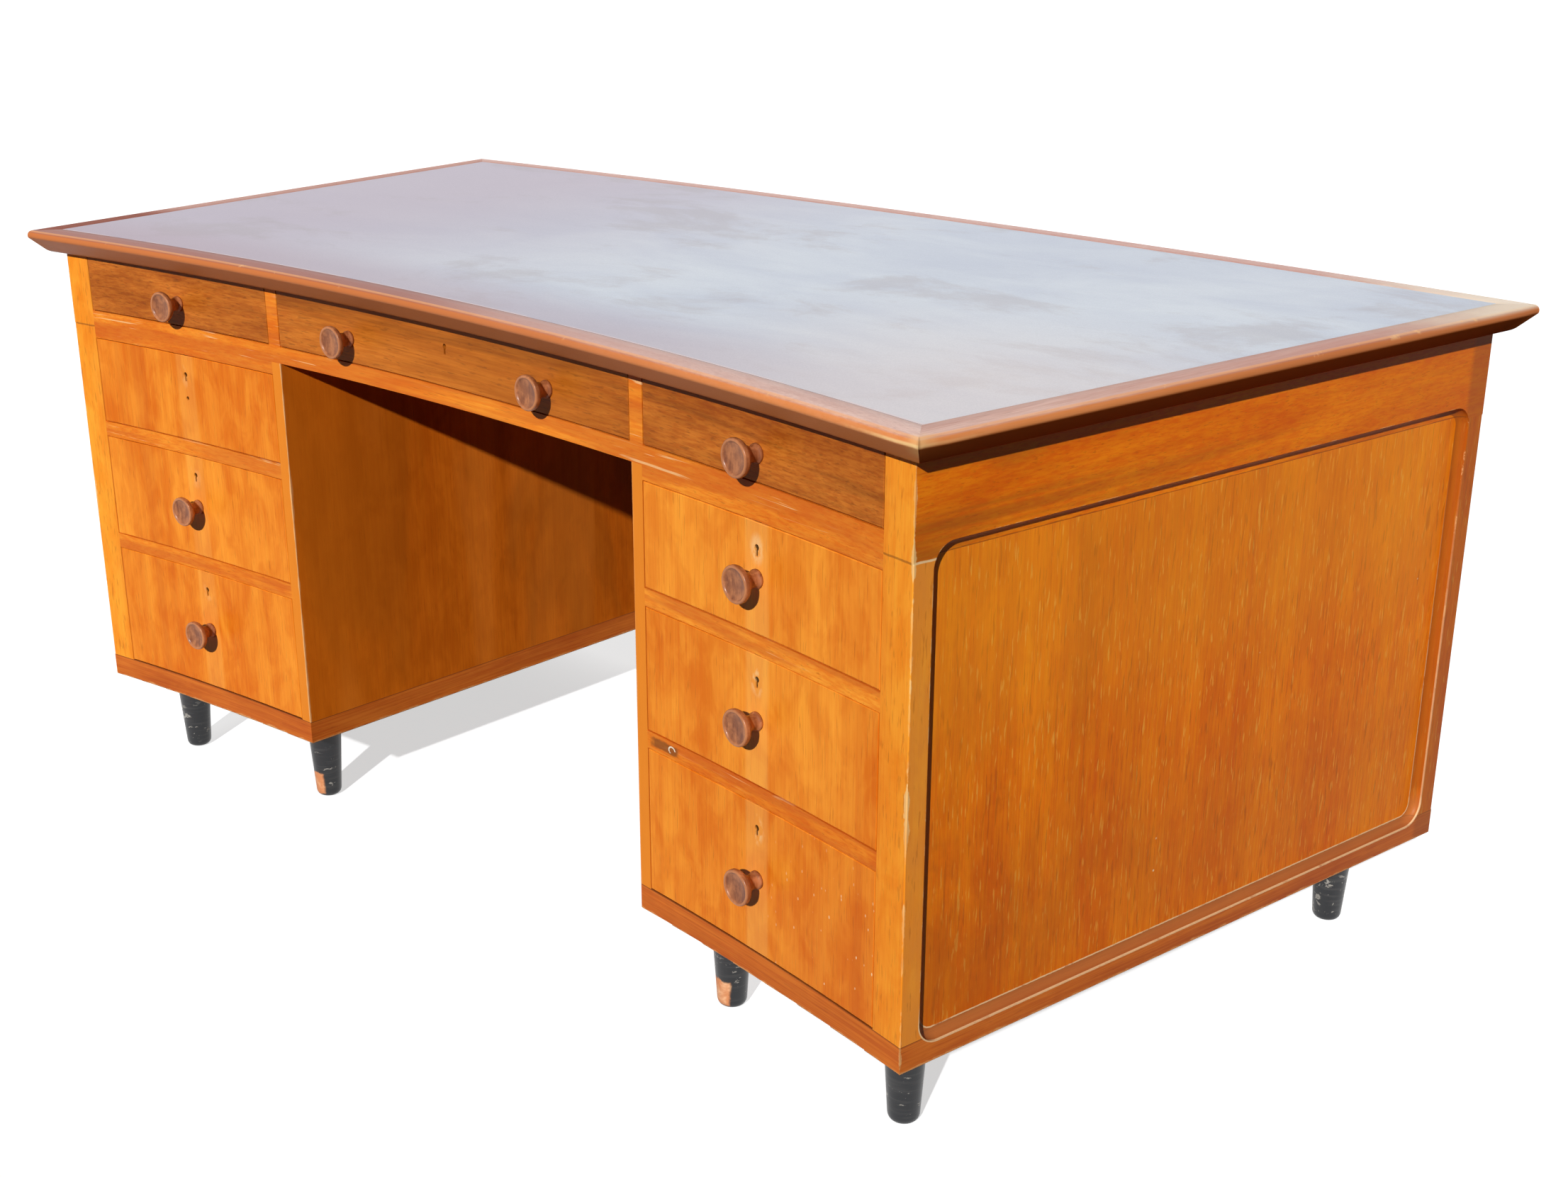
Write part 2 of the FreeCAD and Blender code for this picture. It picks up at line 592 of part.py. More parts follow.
def drawer_set(name, span, floor, opening, depth, knobs, keyhole_x, top_gap, missing_knob):
    x_low, x_high = span
    low, high = floor + DRAWER_GAP, floor + opening - top_gap
    hole = MISSING_KNOB_RADIUS if missing_knob else KNOB_DOWEL_RADIUS + DOWEL_CLEARANCE
    parts = {
        name + "_front": drawer_front(x_low + DRAWER_GAP, x_high - DRAWER_GAP, low, high, knobs,
                                      keyhole_x, hole),
        name + "_box": drawer_box(x_low, x_high, floor, floor + opening, depth),
    }
    if not missing_knob:
        solids = [seated(knob(), x, z, KNOB_SEAT_GAP) for x, z in knobs]
        parts[name + ("_knobs" if len(solids) > 1 else "_knob")] = Part.makeCompound(solids)
    if keyhole_x is not None:
        case = lock_block(keyhole_x, high, 0)
        parts[name + "_lock"] = case.cut(keyhole_cutter(keyhole_x, high - KEYHOLE_DROP))
    return parts


def all_drawers():
    parts = {}
    rows = (("upper", UPPER_Z, UPPER_OPENING), ("middle", MIDDLE_Z, MIDDLE_OPENING),
            ("lower", LOWER_Z, LOWER_OPENING))
    for side, hand in ((-1, "left"), (1, "right")):
        for row, floor, opening in rows:
            missing = hand == "left" and row == "upper"
            parts.update(drawer_parts(hand + "_drawer_" + row, side, floor, opening,
                                      PEDESTAL_BOX_DEPTH, 0, missing))
        parts.update(drawer_parts("frieze_drawer_" + hand, side, FRIEZE_DRAWER_Z, FRIEZE_OPENING,
                                  FRIEZE_BOX_DEPTH, FRIEZE_KNOB_DROP, False))
    z = FRIEZE_DRAWER_Z + FRIEZE_OPENING / 2 - FRIEZE_KNOB_DROP
    x = PARTITION_INNER_X - CENTRE_KNOB_INSET
    knobs = [(-x, z), (x, z)]
    parts.update(drawer_set("frieze_drawer_centre", (-PARTITION_INNER_X, PARTITION_INNER_X),
                            FRIEZE_DRAWER_Z, FRIEZE_OPENING, FRIEZE_BOX_DEPTH, knobs, 0,
                            FRIEZE_TOP_GAP, False))
    return parts


def leg():
    """A round leg that tapers to a foot with a rounded edge."""
    slope = (LEG_TOP_RADIUS - LEG_FOOT_RADIUS) / LEG_HEIGHT
    rounded = LEG_FOOT_ROUND
    edge = LEG_FOOT_RADIUS + slope * rounded
    middle = rounded * (1 - math.sqrt(0.5))
    edges = [
        Part.LineSegment(V(0, 0, 0), V(edge - rounded, 0, 0)),
        Part.Arc(V(edge - rounded, 0, 0), V(edge - middle, 0, middle), V(edge, 0, rounded)),
        Part.LineSegment(V(edge, 0, rounded), V(LEG_TOP_RADIUS, 0, LEG_HEIGHT)),
        Part.LineSegment(V(LEG_TOP_RADIUS, 0, LEG_HEIGHT), V(0, 0, LEG_HEIGHT)),
        Part.LineSegment(V(0, 0, LEG_HEIGHT), V(0, 0, 0)),
    ]
    face = Part.Face(Part.Wire([e.toShape() for e in edges]))
    return face.revolve(V(0, 0, 0), UP, 360)


def pedestal_legs():
    """Four legs under the right-hand pedestal, the same distance in from its faces."""
    inner_x = KNEEHOLE_HALF + LEG_INSET
    outer_front = end_meets(grown(BODY_FRONT, LEG_INSET), LEG_INSET)
    outer_back = end_meets(grown(BODY_BACK, -LEG_INSET), LEG_INSET)
    inner_front = V(inner_x, arc_y(grown(BODY_FRONT, LEG_INSET), inner_x), 0)
    inner_back = V(inner_x, arc_y(grown(BODY_BACK, -LEG_INSET), inner_x), 0)
    places = (outer_front, inner_front, outer_back, inner_back)
    return Part.makeCompound([leg().translated(place) for place in places])


def all_parts():
    cutter = recess_cutter()
    parts = top_parts()
    parts.update(frieze_parts(cutter))
    pedestal = pedestal_parts(cutter)
    pedestal["legs"] = pedestal_legs()
    for name, shape in pedestal.items():
        parts["right_pedestal_" + name] = shape
        parts["left_pedestal_" + name] = flipped(shape)
    parts.update(all_drawers())
    return parts


def single(shape):
    """The solids of a shape, as one solid or as a compound of several."""
    solids = shape.Solids
    return solids[0] if len(solids) == 1 else Part.makeCompound(solids)


def main():
    os.makedirs("parts", exist_ok=True)
    parts = all_parts()
    outline = parts["desktop_lipping"].optimalBoundingBox()
    to_origin = V(0, -(outline.YMin + outline.YMax) / 2, 0)
    for name, shape in parts.items():
        single(shape).translated(to_origin).exportStep("parts/" + name + ".step")


main()
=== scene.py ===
import math

import bpy
import numpy as np
from bpy.props import FloatProperty, FloatVectorProperty, PointerProperty
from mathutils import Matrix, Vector


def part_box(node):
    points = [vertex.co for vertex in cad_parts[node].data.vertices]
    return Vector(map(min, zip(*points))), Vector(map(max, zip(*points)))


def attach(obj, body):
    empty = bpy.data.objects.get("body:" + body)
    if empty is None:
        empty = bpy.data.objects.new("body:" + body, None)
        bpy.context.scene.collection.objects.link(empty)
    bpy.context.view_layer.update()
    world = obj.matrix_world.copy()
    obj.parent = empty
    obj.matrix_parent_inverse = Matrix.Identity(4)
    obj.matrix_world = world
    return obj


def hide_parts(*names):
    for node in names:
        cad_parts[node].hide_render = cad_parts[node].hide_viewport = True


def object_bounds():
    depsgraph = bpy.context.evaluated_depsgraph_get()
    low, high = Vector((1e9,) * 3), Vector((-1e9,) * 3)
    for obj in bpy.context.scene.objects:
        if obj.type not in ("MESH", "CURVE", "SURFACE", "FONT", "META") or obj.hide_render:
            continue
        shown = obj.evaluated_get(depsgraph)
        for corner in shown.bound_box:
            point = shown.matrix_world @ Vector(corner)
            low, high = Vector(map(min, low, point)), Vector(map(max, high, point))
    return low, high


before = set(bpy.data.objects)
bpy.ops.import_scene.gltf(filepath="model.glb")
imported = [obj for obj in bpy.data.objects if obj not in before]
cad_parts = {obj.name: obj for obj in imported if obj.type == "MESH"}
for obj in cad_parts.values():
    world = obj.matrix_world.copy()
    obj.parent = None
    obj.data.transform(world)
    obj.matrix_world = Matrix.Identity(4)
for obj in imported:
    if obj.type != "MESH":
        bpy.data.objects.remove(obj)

bl_info = {
    "name": "Curved kneehole desk",
    "version": (1, 0, 0),
    "blender": (4, 5, 0),
    "location": "View3D > Sidebar > Desk",
    "description": "Dresses a curved kneehole desk: turned knobs and legs, mitred lipping and worn wood",
    "category": "Add Mesh",
}

CAD_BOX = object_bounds()


# ---------------------------------------------------------------- sizes and colours

def tone(red, green, blue):
    """A colour given as it shows on a screen, 0 to 255, as the linear values that a shader takes."""
    def linear(v):
        v = v / 255
        return v / 12.92 if v <= 0.04045 else ((v + 0.055) / 1.055) ** 2.4
    return linear(red), linear(green), linear(blue)


def length(name, default, description):
    """A setting in metres."""
    return FloatProperty(name=name, default=default, description=description, min=0.0, unit="LENGTH",
                         subtype="DISTANCE", precision=4)


def paint(name, shade, description):
    """A colour setting, whose default is given as it shows on a screen."""
    return FloatVectorProperty(name=name, default=tone(*shade), description=description, size=3, min=0.0,
                               max=1.0, subtype="COLOR")


class DeskPlan(bpy.types.PropertyGroup):
    """The fan-shaped plan that the top and the body share."""
    front_half: length("Front half width", 0.7359, "From the middle to a front corner of the body")
    half_depth: length("Half depth", 0.4164, "From mid-depth to the corners of the body")
    splay: FloatProperty(name="Splay", default=math.radians(9.0), description="Turn of each end outwards",
                         subtype="ANGLE")
    front_sagitta: length("Front hollow", 0.0658, "How far the front edge curves inwards")
    back_sagitta: length("Back swell", 0.0400, "How far the body's back curves outwards")
    end_overhang: length("End overhang", 0.0385, "Reach of the top past the ends")
    front_overhang: length("Front overhang", 0.0392, "Reach of the top past the front")
    back_overhang: length("Back overhang", 0.0206, "Reach of the top past the back corners")
    top_back_sagitta: length("Top back swell", 0.0447, "How far the top's back edge curves outwards")
    recess_margin: length("Recess margin", 0.0240, "From the corners to the edge of an end's recess")
    recess_low: length("Recess foot", 0.1410, "Height of the recess's lower edge")
    recess_high: length("Recess head", 0.6500, "Height of the recess's upper edge")
    recess_corner: length("Recess corner radius", 0.0250, "Rounding of the recess's four corners")
    cove: length("Cove radius", 0.0095, "Radius of the cove round the recess")


class DeskTurning(bpy.types.PropertyGroup):
    """Sizes of the turned pieces and of the lipping's moulded edge."""
    knob_radius: length("Knob radius", 0.0195, "Widest radius of a knob")
    knob_height: length("Knob height", 0.0290, "How far a knob stands out of its drawer")
    knob_base: length("Knob base radius", 0.0100, "Radius where a knob meets its drawer")
    knob_neck: length("Knob neck radius", 0.0080, "Narrowest radius of a knob")
    knob_disc: length("Knob disc thickness", 0.0060, "Thickness of a knob's head at its edge")
    knob_spread: length("Centre knob offset", 0.1800, "From the middle to each knob of the centre drawer")
    leg_top: length("Leg top radius", 0.0240, "Radius of a leg under the pedestal")
    leg_foot: length("Leg foot radius", 0.0165, "Radius that a leg tapers to at the floor")
    leg_inset: length("Leg inset", 0.0740, "From the pedestal's faces to a leg's axis")
    lipping_width: length("Lipping width", 0.0340, "Width of the lipping round the writing surface")
    nose_upper: length("Upper nose radius", 0.0070, "Rounding of the lipping's upper edge")
    nose_band: length("Nose band", 0.0020, "Height of the upright band under that rounding")
    nose_bevel: length("Nose bevel width", 0.0210, "How far the bevel under the nose reaches inwards")
    corner: length("Corner radius", 0.0070, "Rounding of the top's four corners")


class DeskColours(bpy.types.PropertyGroup):
    """Colours of the desk's finishes."""
    drawer_pale: paint("Drawer, pale", (254, 164, 54), "Pale figure of the pedestal drawers")
    drawer_deep: paint("Drawer, deep", (220, 110, 16), "Deep figure of the pedestal drawers")
    frieze_pale: paint("Frieze drawer, pale", (212, 124, 44), "Pale figure of the frieze drawers")
    frieze_deep: paint("Frieze drawer, deep", (158, 80, 16), "Deep figure of the frieze drawers")
    post_pale: paint("Post, pale", (255, 170, 52), "Pale figure of the corner posts")
    post_deep: paint("Post, deep", (234, 126, 16), "Deep figure of the corner posts")
    end_pale: paint("End panel, pale", (255, 146, 18), "Pale figure of the end panels")
    end_deep: paint("End panel, deep", (226, 106, 0), "Deep figure of the end panels")
    side_pale: paint("Inner side, pale", (216, 112, 22), "Pale figure of the kneehole's sides")
    side_deep: paint("Inner side, deep", (176, 80, 6), "Deep figure of the kneehole's sides")
    base_pale: paint("Base, pale", (220, 122, 42), "Pale figure of the pedestals' bases")
    base_deep: paint("Base, deep", (180, 84, 20), "Deep figure of the pedestals' bases")
    lipping_pale: paint("Lipping, pale", (226, 186, 170), "Pale figure of the top's lipping")
    lipping_deep: paint("Lipping, deep", (196, 142, 124), "Deep figure of the top's lipping")
    lipping_nose: paint("Lipping, edge", (226, 134, 60), "Rounded outer edge of the lipping")
    bare_wood: paint("Bare wood", (246, 218, 168), "Wood where the polish is worn away")
    # real grime in joints, and also painted shade in the gap along the top of the bases
    grime_and_shade: paint("Grime", (96, 50, 18), "Dark grime in corners and joints")
    leather_pale: paint("Writing surface, pale", (216, 223, 232), "Worn parts of the writing surface")
    leather_deep: paint("Writing surface, deep", (192, 200, 216), "Deeper parts of the writing surface")
    knob_pale: paint("Knob, pale", (204, 132, 84), "Rims of the knobs")
    knob_deep: paint("Knob, deep", (116, 60, 32), "Faces of the knobs")
    ebonised: paint("Ebonised wood", (26, 27, 30), "Black paint of the legs")
    lining: paint("Drawer lining, pale", (206, 170, 118), "Sides and bottoms of the drawers")
    lining_deep: paint("Drawer lining, deep", (178, 144, 98), "Deep figure of the drawer linings")


GROUPS = {"desk_plan": DeskPlan, "desk_turning": DeskTurning, "desk_colours": DeskColours}
ROWS = ("upper", "middle", "lower")


def plan():
    return bpy.context.scene.desk_plan


def turning():
    return bpy.context.scene.desk_turning


def colour(name):
    """One of the desk's colours, as linear values."""
    return tuple(getattr(bpy.context.scene.desk_colours, name))


# ---------------------------------------------------------------- plan geometry

class Outline:
    """The desk's plan in metres: arcs about centres on the Y axis, and the splayed end lines."""

    def __init__(self):
        p = plan()
        self.along = np.array([math.sin(p.splay), math.cos(p.splay)])
        self.inward = np.array([-math.cos(p.splay), math.sin(p.splay)])
        back = p.half_depth + p.back_overhang + p.top_back_sagitta
        self.corner = np.array([p.front_half, CAD_BOX[1].y - back - p.half_depth])
        self.body_front = self.through(self.corner, p.front_sagitta)
        self.body_back = self.through(self.end_at(0, self.corner[1] + 2 * p.half_depth), p.back_sagitta)
        near = self.end_at(-p.end_overhang, self.corner[1] - p.front_overhang)
        far = self.end_at(-p.end_overhang, self.corner[1] + 2 * p.half_depth + p.back_overhang)
        self.top_front = self.through(near, p.front_sagitta)
        self.top_back = self.through(far, p.top_back_sagitta)

    @staticmethod
    def through(corner, sagitta):
        """Centre height and radius of the arc through a corner and its mirror image: the radius is
        half the chord squared plus the sagitta squared, over twice the sagitta."""
        radius = (corner[0] ** 2 + sagitta ** 2) / (2 * sagitta)
        return corner[1] + sagitta - radius, radius

    def end_at(self, inset, y):
        """The point with a given y on the right end's line, inset from it."""
        start = self.corner + self.inward * inset
        return start + self.along * ((y - start[1]) / self.along[1])

    def meets(self, circle, inset):
        """Where a line parallel to the right end, inset from it, crosses an arc; arrays are allowed."""
        inset = np.asarray(inset, float)[..., None]
        start = self.corner + self.inward * inset - [0, circle[0]]
        half = start @ self.along
        run = -half + np.sqrt(half ** 2 - (start ** 2).sum(-1) + np.asarray(circle[1]) ** 2)
        return start + self.along * run[..., None] + [0, circle[0]]

    @staticmethod
    def arc_y(circle, x):
        """The y of an arc at x: its centre's height plus the root of radius squared less x squared."""
        return circle[0] + np.sqrt(circle[1] ** 2 - np.asarray(x) ** 2)


# ---------------------------------------------------------------- meshes

def ring_faces(index, ends_swapped=False):
    """Faces over a grid of vertex numbers whose columns close in a ring: a quad between neighbouring
    rows and columns, then a face over the first row and one over the last. ends_swapped turns those
    two over, for a grid whose quads point the other way."""
    closed = np.hstack([index, index[:, :1]])
    quads = np.stack([closed[:-1, :-1], closed[:-1, 1:], closed[1:, 1:], closed[1:, :-1]], -1)
    ends = (index[0], index[-1][::-1]) if ends_swapped else (index[0][::-1], index[-1])
    return quads.reshape(-1, 4).tolist() + [end.tolist() for end in ends]


def smooth_mesh(name, points, faces, flat=0):
    """A mesh whose faces shade smoothly, but for the last few, which stay flat."""
    mesh = bpy.data.meshes.new(name)
    mesh.from_pydata(points.reshape(-1, 3), [], faces)
    mesh.polygons.foreach_set("use_smooth", np.arange(len(faces)) < len(faces) - flat)
    mesh.update()
    return mesh


def add_piece(name, mesh, body, material):
    """A new object that rides on a body, with its material in a named slot."""
    piece = bpy.data.objects.new(name, mesh)
    bpy.context.scene.collection.objects.link(piece)
    piece.data.materials.append(material)
    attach(piece, body)
    return piece


def fillet(profile, spots, steps):
    """A line of (radius or inset, height) points with the named corners rounded: each corner's two
    sides are trimmed by its radius and joined by a quadratic curve through the trimmed ends."""
    out = []
    for i, point in enumerate(profile):
        size = spots.get(i)
        if not size:
            out.append(point[None])
            continue
        before, after = profile[i - 1] - point, profile[i + 1] - point
        a = point + before / np.linalg.norm(before) * size
        b = point + after / np.linalg.norm(after) * size
        t = np.linspace(0, 1, steps)[:, None]
        out.append((1 - t) ** 2 * a + 2 * t * (1 - t) * point + t ** 2 * b)
    return np.concatenate(out)


def turned(profile, origin, axis, around=72):
    """A surface of revolution: each (radius, height) of the profile is carried round an axis, so a
    point is origin + height * axis + radius * (cos a * side + sin a * other)."""
    axis = np.asarray(axis, float) / np.linalg.norm(axis)
    side = np.cross(axis, [0, 0, 1.0] if abs(axis[2]) < 0.9 else [0, 1.0, 0])
    side /= np.linalg.norm(side)
    other = np.cross(axis, side)
    angle = np.linspace(0, 2 * math.pi, around, endpoint=False)[None, :, None]
    radius, height = profile[:, 0][:, None, None], profile[:, 1][:, None, None]
    return np.asarray(origin) + height * axis + radius * (np.cos(angle) * side + np.sin(angle) * other)


def turned_mesh(name, grids, rims=None):
    """Turned pieces of one profile in one mesh: each is a grid closed round its axis, with a cap over
    the tiny ring at each end. rims gives each row a value for the shader, kept as "rim"."""
    rows, columns = grids[0].shape[:2]
    index = np.arange(rows * columns).reshape(rows, columns)
    faces = [face for i in range(len(grids)) for face in ring_faces(index + i * index.size)]
    mesh = smooth_mesh(name, np.stack(grids), faces)
    if rims is not None:
        values = np.repeat(np.tile(rims, len(grids)), columns).astype(np.float32)
        mesh.attributes.new("rim", "FLOAT", "POINT").data.foreach_set("value", values)
    return mesh


# ---------------------------------------------------------------- shader expressions

class Value:
    """One output socket of a material; arithmetic on it adds Math nodes."""

    def __init__(self, tree, socket):
        self.tree, self.socket = tree, socket

    def node(self, kind, sockets=None, output=0, **settings):
        """Adds a node: its settings first, then its sockets' values or links."""
        node = self.tree.nodes.new(kind)
        for key, value in settings.items():
            setattr(node, key, value)
        for key, value in (sockets or {}).items():
            socket = node.inputs[key]
            if isinstance(value, Value):
                self.tree.links.new(value.socket, socket)
            else:
                socket.default_value = (*value, 1.0) if socket.type == "RGBA" else value
        return Value(self.tree, node.outputs[output] if node.outputs else None)

    def math(self, operation, *others):
        return self.node("ShaderNodeMath", dict(enumerate((self, *others))), operation=operation)

    def __add__(self, other): return self.math("ADD", other)
    __radd__ = __add__
    def __mul__(self, other): return self.math("MULTIPLY", other)
    __rmul__ = __mul__
    def __sub__(self, other): return self.math("SUBTRACT", other)
    def __rsub__(self, other): return self.node("ShaderNodeMath", {0: other, 1: self}, operation="SUBTRACT")
    def __pow__(self, other): return self.math("POWER", other)
    def __abs__(self): return self.math("ABSOLUTE")

    def least(self, other): return self.math("MINIMUM", other)
    def most(self, other): return self.math("MAXIMUM", other)

    def fade(self, start, stop):
        """0 at start and 1 at stop, easing in and out; start may be above stop."""
        return self.node("ShaderNodeMapRange", {"Value": self, "From Min": start, "From Max": stop},
                         interpolation_type="SMOOTHSTEP")

    def moved(self, scale=(1, 1, 1), shift=(0, 0, 0), turn=(0, 0, 0)):
        """Coordinates that a Mapping node scales, shifts and turns."""
        return self.node("ShaderNodeMapping", {"Vector": self, "Location": shift, "Rotation": turn,
                                               "Scale": scale})

    def noise(self, scale, detail=2.0, roughness=0.5, distortion=0.0):
        """Noise of so many cycles per metre: one number for all axes, or one for each."""
        vector, scale = (self, scale) if isinstance(scale, float) else (self.moved(scale), 1.0)
        return self.node("ShaderNodeTexNoise", {"Vector": vector, "Scale": scale, "Detail": detail,
                                                "Roughness": roughness, "Distortion": distortion})

    def cells(self, scale, output=0):
        """Distance to the nearest of many scattered points, or with output 1 a chance colour for each."""
        return self.node("ShaderNodeTexVoronoi", {"Vector": self, "Scale": scale}, output)

    def axis(self, name):
        return self.node("ShaderNodeSeparateXYZ", {0: self}, "XYZ".index(name))


def mixed(factor, first, second, blend="MIX"):
    """A colour between two, by a factor from 0 to 1."""
    return factor.node("ShaderNodeMix", {0: factor, 6: first, 7: second}, 2, data_type="RGBA",
                       blend_type=blend, clamp_result=True)


def span(first, second):
    """How long a line is whose two legs have these lengths."""
    return (first * first + second * second) ** 0.5


class Finish:
    """A material built from expressions: coordinates in, a Principled shader out. The marks work on
    its tint, which is the colour, and on its gloss, which is the roughness."""

    def __init__(self, name):
        self.material = bpy.data.materials.new(name)
        self.material.use_nodes = True
        self.material.node_tree.nodes.clear()
        self.start = Value(self.material.node_tree, None)
        self.place = self.start.node("ShaderNodeTexCoord", output="Object")
        self.x, self.y, self.z = (self.place.axis(axis) for axis in "XYZ")
        self.side = abs(self.x)
        self.tint = self.gloss = None

    def stain(self, mask, shade, blend="MIX"):
        """Lays a colour, by its name or as it shows on a screen, over the tint where a mask says."""
        self.tint = mixed(mask, self.tint, colour(shade) if isinstance(shade, str) else tone(*shade), blend)

    def wear(self, mask, shade="bare_wood"):
        """Bare and rougher wood where a mask says that the polish has gone."""
        self.stain(mask, shade)
        self.gloss = self.gloss + mask * 0.25

    def shade(self, bump=None, strength=0.0, distance=0.0, **fixed):
        """Ends the material with a Principled shader; fixed names its other sockets."""
        sockets = {"Base Color": self.tint, "Roughness": self.gloss}
        if bump is not None:
            sockets["Normal"] = self.start.node("ShaderNodeBump", {"Height": bump, "Strength": strength,
                                                                   "Distance": distance})
        sockets.update({key.replace("_", " "): value for key, value in fixed.items()})
        shader = self.start.node("ShaderNodeBsdfPrincipled", sockets)
        self.start.node("ShaderNodeOutputMaterial", {"Surface": shader})
        return self.material


def grain(vector, axis, across, along, *settings):
    """Noise drawn out along one axis, with its cycles per metre across the grain and along it."""
    scale = [across] * 3
    scale["XYZ".index(axis)] = along
    return vector.noise(scale, *settings)


def wood_layers(vector, axis, pale, deep, leaf=7.0, streak=55.0, fine=0.45, cloud=0.18):
    """Colour, height for the bump, and streaks of figured wood whose grain runs along one axis: broad
    leaves of veneer, streaks, a cloudy mottle, fine fibres and short dark pores; fine and cloud weigh
    the fibres and the mottle."""
    broad = grain(vector, axis, leaf, leaf * 0.10, 2.0, 0.5, 0.4)
    bands = grain(vector, axis, streak, streak * 0.035, 4.0, 0.6, 0.8)
    mottle = grain(vector, axis, 34.0, 16.0, 3.0, 0.6, 0.5)
    fibre = grain(vector, axis, 420.0, 9.0, 3.0, 0.6)
    pores = grain(vector, axis, 800.0, 40.0, 1.0, 0.5).fade(0.62, 0.74)
    level = (broad.fade(0.36, 0.64) * (0.64 - cloud / 2) + bands.fade(0.34, 0.66) * (0.36 - cloud / 2)
             + mottle.fade(0.34, 0.66) * cloud)
    deep = colour(deep)
    tint = mixed(level, deep, colour(pale))
    tint = mixed(fibre.fade(0.62, 0.36) * fine, tint, tuple(c ** 0.5 for c in deep), "MULTIPLY")
    tint = mixed(pores * 0.30, tint, tuple(c * 0.35 for c in deep))
    return tint, fibre * 0.5 + (1.0 - pores) * 0.5, bands


def flecks(vector, axis, across, along):
    """Short dashes along the grain, where a drawn-out noise is high."""
    return grain(vector, axis, across, along).fade(0.60, 0.70)


def specks(vector, scale, size, chance):
    """Small round marks scattered at random: near the middle of a cell, in a share of the cells."""
    near = vector.cells(scale).fade(size, size * 0.5)
    lucky = vector.cells(scale, output=1).axis("X").fade(1.0 - chance, 1.0 - chance + 0.02)
    return near * lucky


def wood(name, pale, deep, axis, leaf=7.0, streak=55.0, roughness=0.36, extra=(), seed=0.0, fine=0.45,
         cloud=0.18, shine=0.10):
    """Polished veneer or solid wood in object space, with what extra adds on top. A level axis runs
    along X on a front and along Y on an end."""
    finish = Finish(name)
    vector = finish.place.moved(shift=(seed, seed * 0.7, seed * 1.3)) if seed else finish.place
    if axis == "level":
        vector = finish.start.node("ShaderNodeCombineXYZ", {0: finish.x + finish.y, 2: finish.z})
        axis = "X"
    finish.tint, height, bands = wood_layers(vector, axis, pale, deep, leaf, streak, fine, cloud)
    finish.gloss = bands * 0.10 + roughness
    for add in extra:
        add(finish)
    return finish.shade(height, 0.25, 0.0003, Specular_IOR_Level=shine)


# ---------------------------------------------------------------- places on the desk

def line(distance, width, fray):
    """A ragged line, where a distance is less than a width that comes and goes with a noise."""
    return abs(distance).fade(width, width * 0.45) * fray.fade(0.44, 0.54)


def arc_depth(finish, centre, radius):
    """How far outside an arc about a point of the Y axis something lies: its distance from that
    centre, less the radius."""
    return span(finish.x, finish.y - centre) - radius


def front_depth(finish):
    """How far behind the body's hollow front a point lies."""
    return arc_depth(finish, *Outline().body_front)


def end_frame(finish):
    """Distances from the front corner along the end face and into it, the same at both ends."""
    outline = Outline()
    dx, dy = finish.side - outline.corner[0], finish.y - outline.corner[1]
    return (dx * outline.along[0] + dy * outline.along[1], dx * outline.inward[0] + dy * outline.inward[1])


def rim_distance(finish):
    """Distance outside the edge of an end's recess, in the plane of the end; inside it is negative.
    It is the distance from a rectangle that is smaller by the corner radius, less that radius."""
    p, along = plan(), end_frame(finish)[0]
    middle = p.half_depth / math.cos(p.splay)
    rise = (p.recess_high - p.recess_low) / 2
    radius = p.recess_corner
    u = (abs(along - middle) - (middle - p.recess_margin - radius)).most(0.0)
    v = (abs(finish.z - (p.recess_low + rise)) - (rise - radius)).most(0.0)
    return span(u, v) - radius


def knob_x():
    """Where the pedestal drawers' knobs stand, from the middle."""
    low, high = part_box("right_drawer_middle_front")
    return (low.x + high.x) / 2


# ---------------------------------------------------------------- marks on the woods

def cove_marks(finish):
    """Browned cove, painted shade in its upright run near the front, darker rear stile, and chipped pale
    lines on both edges of the cove, most along the bottom and up the far side."""
    p = plan()
    depth = 2 * p.half_depth
    edge = rim_distance(finish)
    along, inward = end_frame(finish)
    face = inward.fade(0.0140, 0.0125)
    surface = inward.fade(0.0024, 0.0014)
    low = finish.z.fade(p.recess_low + 0.05, p.recess_low + 0.02)
    above = 1.0 - low
    front = along.fade(p.recess_margin + 0.02, p.recess_margin + 0.012)
    rear = along.fade(depth - 0.08, depth - 0.05)
    stile = along.fade(depth - 0.026, depth - 0.016) * inward.fade(0.0030, 0.0010)
    channel = edge.fade(0.0006, -0.0002) * (edge + p.cove).fade(-0.0004, 0.0004) * face
    finish.stain(channel * low * 0.75, (160, 96, 52))
    # painted shade: the upright run of the cove near the front, which faces away from the light, darkened
    finish.stain(channel * front * above * 0.55, (110, 44, 12))
    finish.stain(channel * rear * above * 0.75, (142, 70, 20))
    finish.stain(stile * 0.45, (134, 66, 20))
    far = along.fade(depth - 0.09, depth - 0.05) * finish.z.fade(0.62, 0.30)
    chipped = low.most(far * 0.55)
    fray = finish.place.noise(34.0, 5.0, 0.7)
    wander = (finish.place.noise(240.0, 3.0, 0.6) - 0.5) * 0.0010
    lines = line(edge + wander, 0.0017, fray * 0.4 + 0.36) * surface
    lines = lines.most(line(edge + p.cove + wander, 0.0011, fray * 0.5 + 0.29))
    finish.wear(lines * chipped * face * 0.75, (246, 214, 164))
    rest = line(edge + wander, 0.0009, fray * 1.2 - 0.16) * surface
    finish.wear(rest * (1.0 - chipped) * face * 0.45, (240, 196, 134))


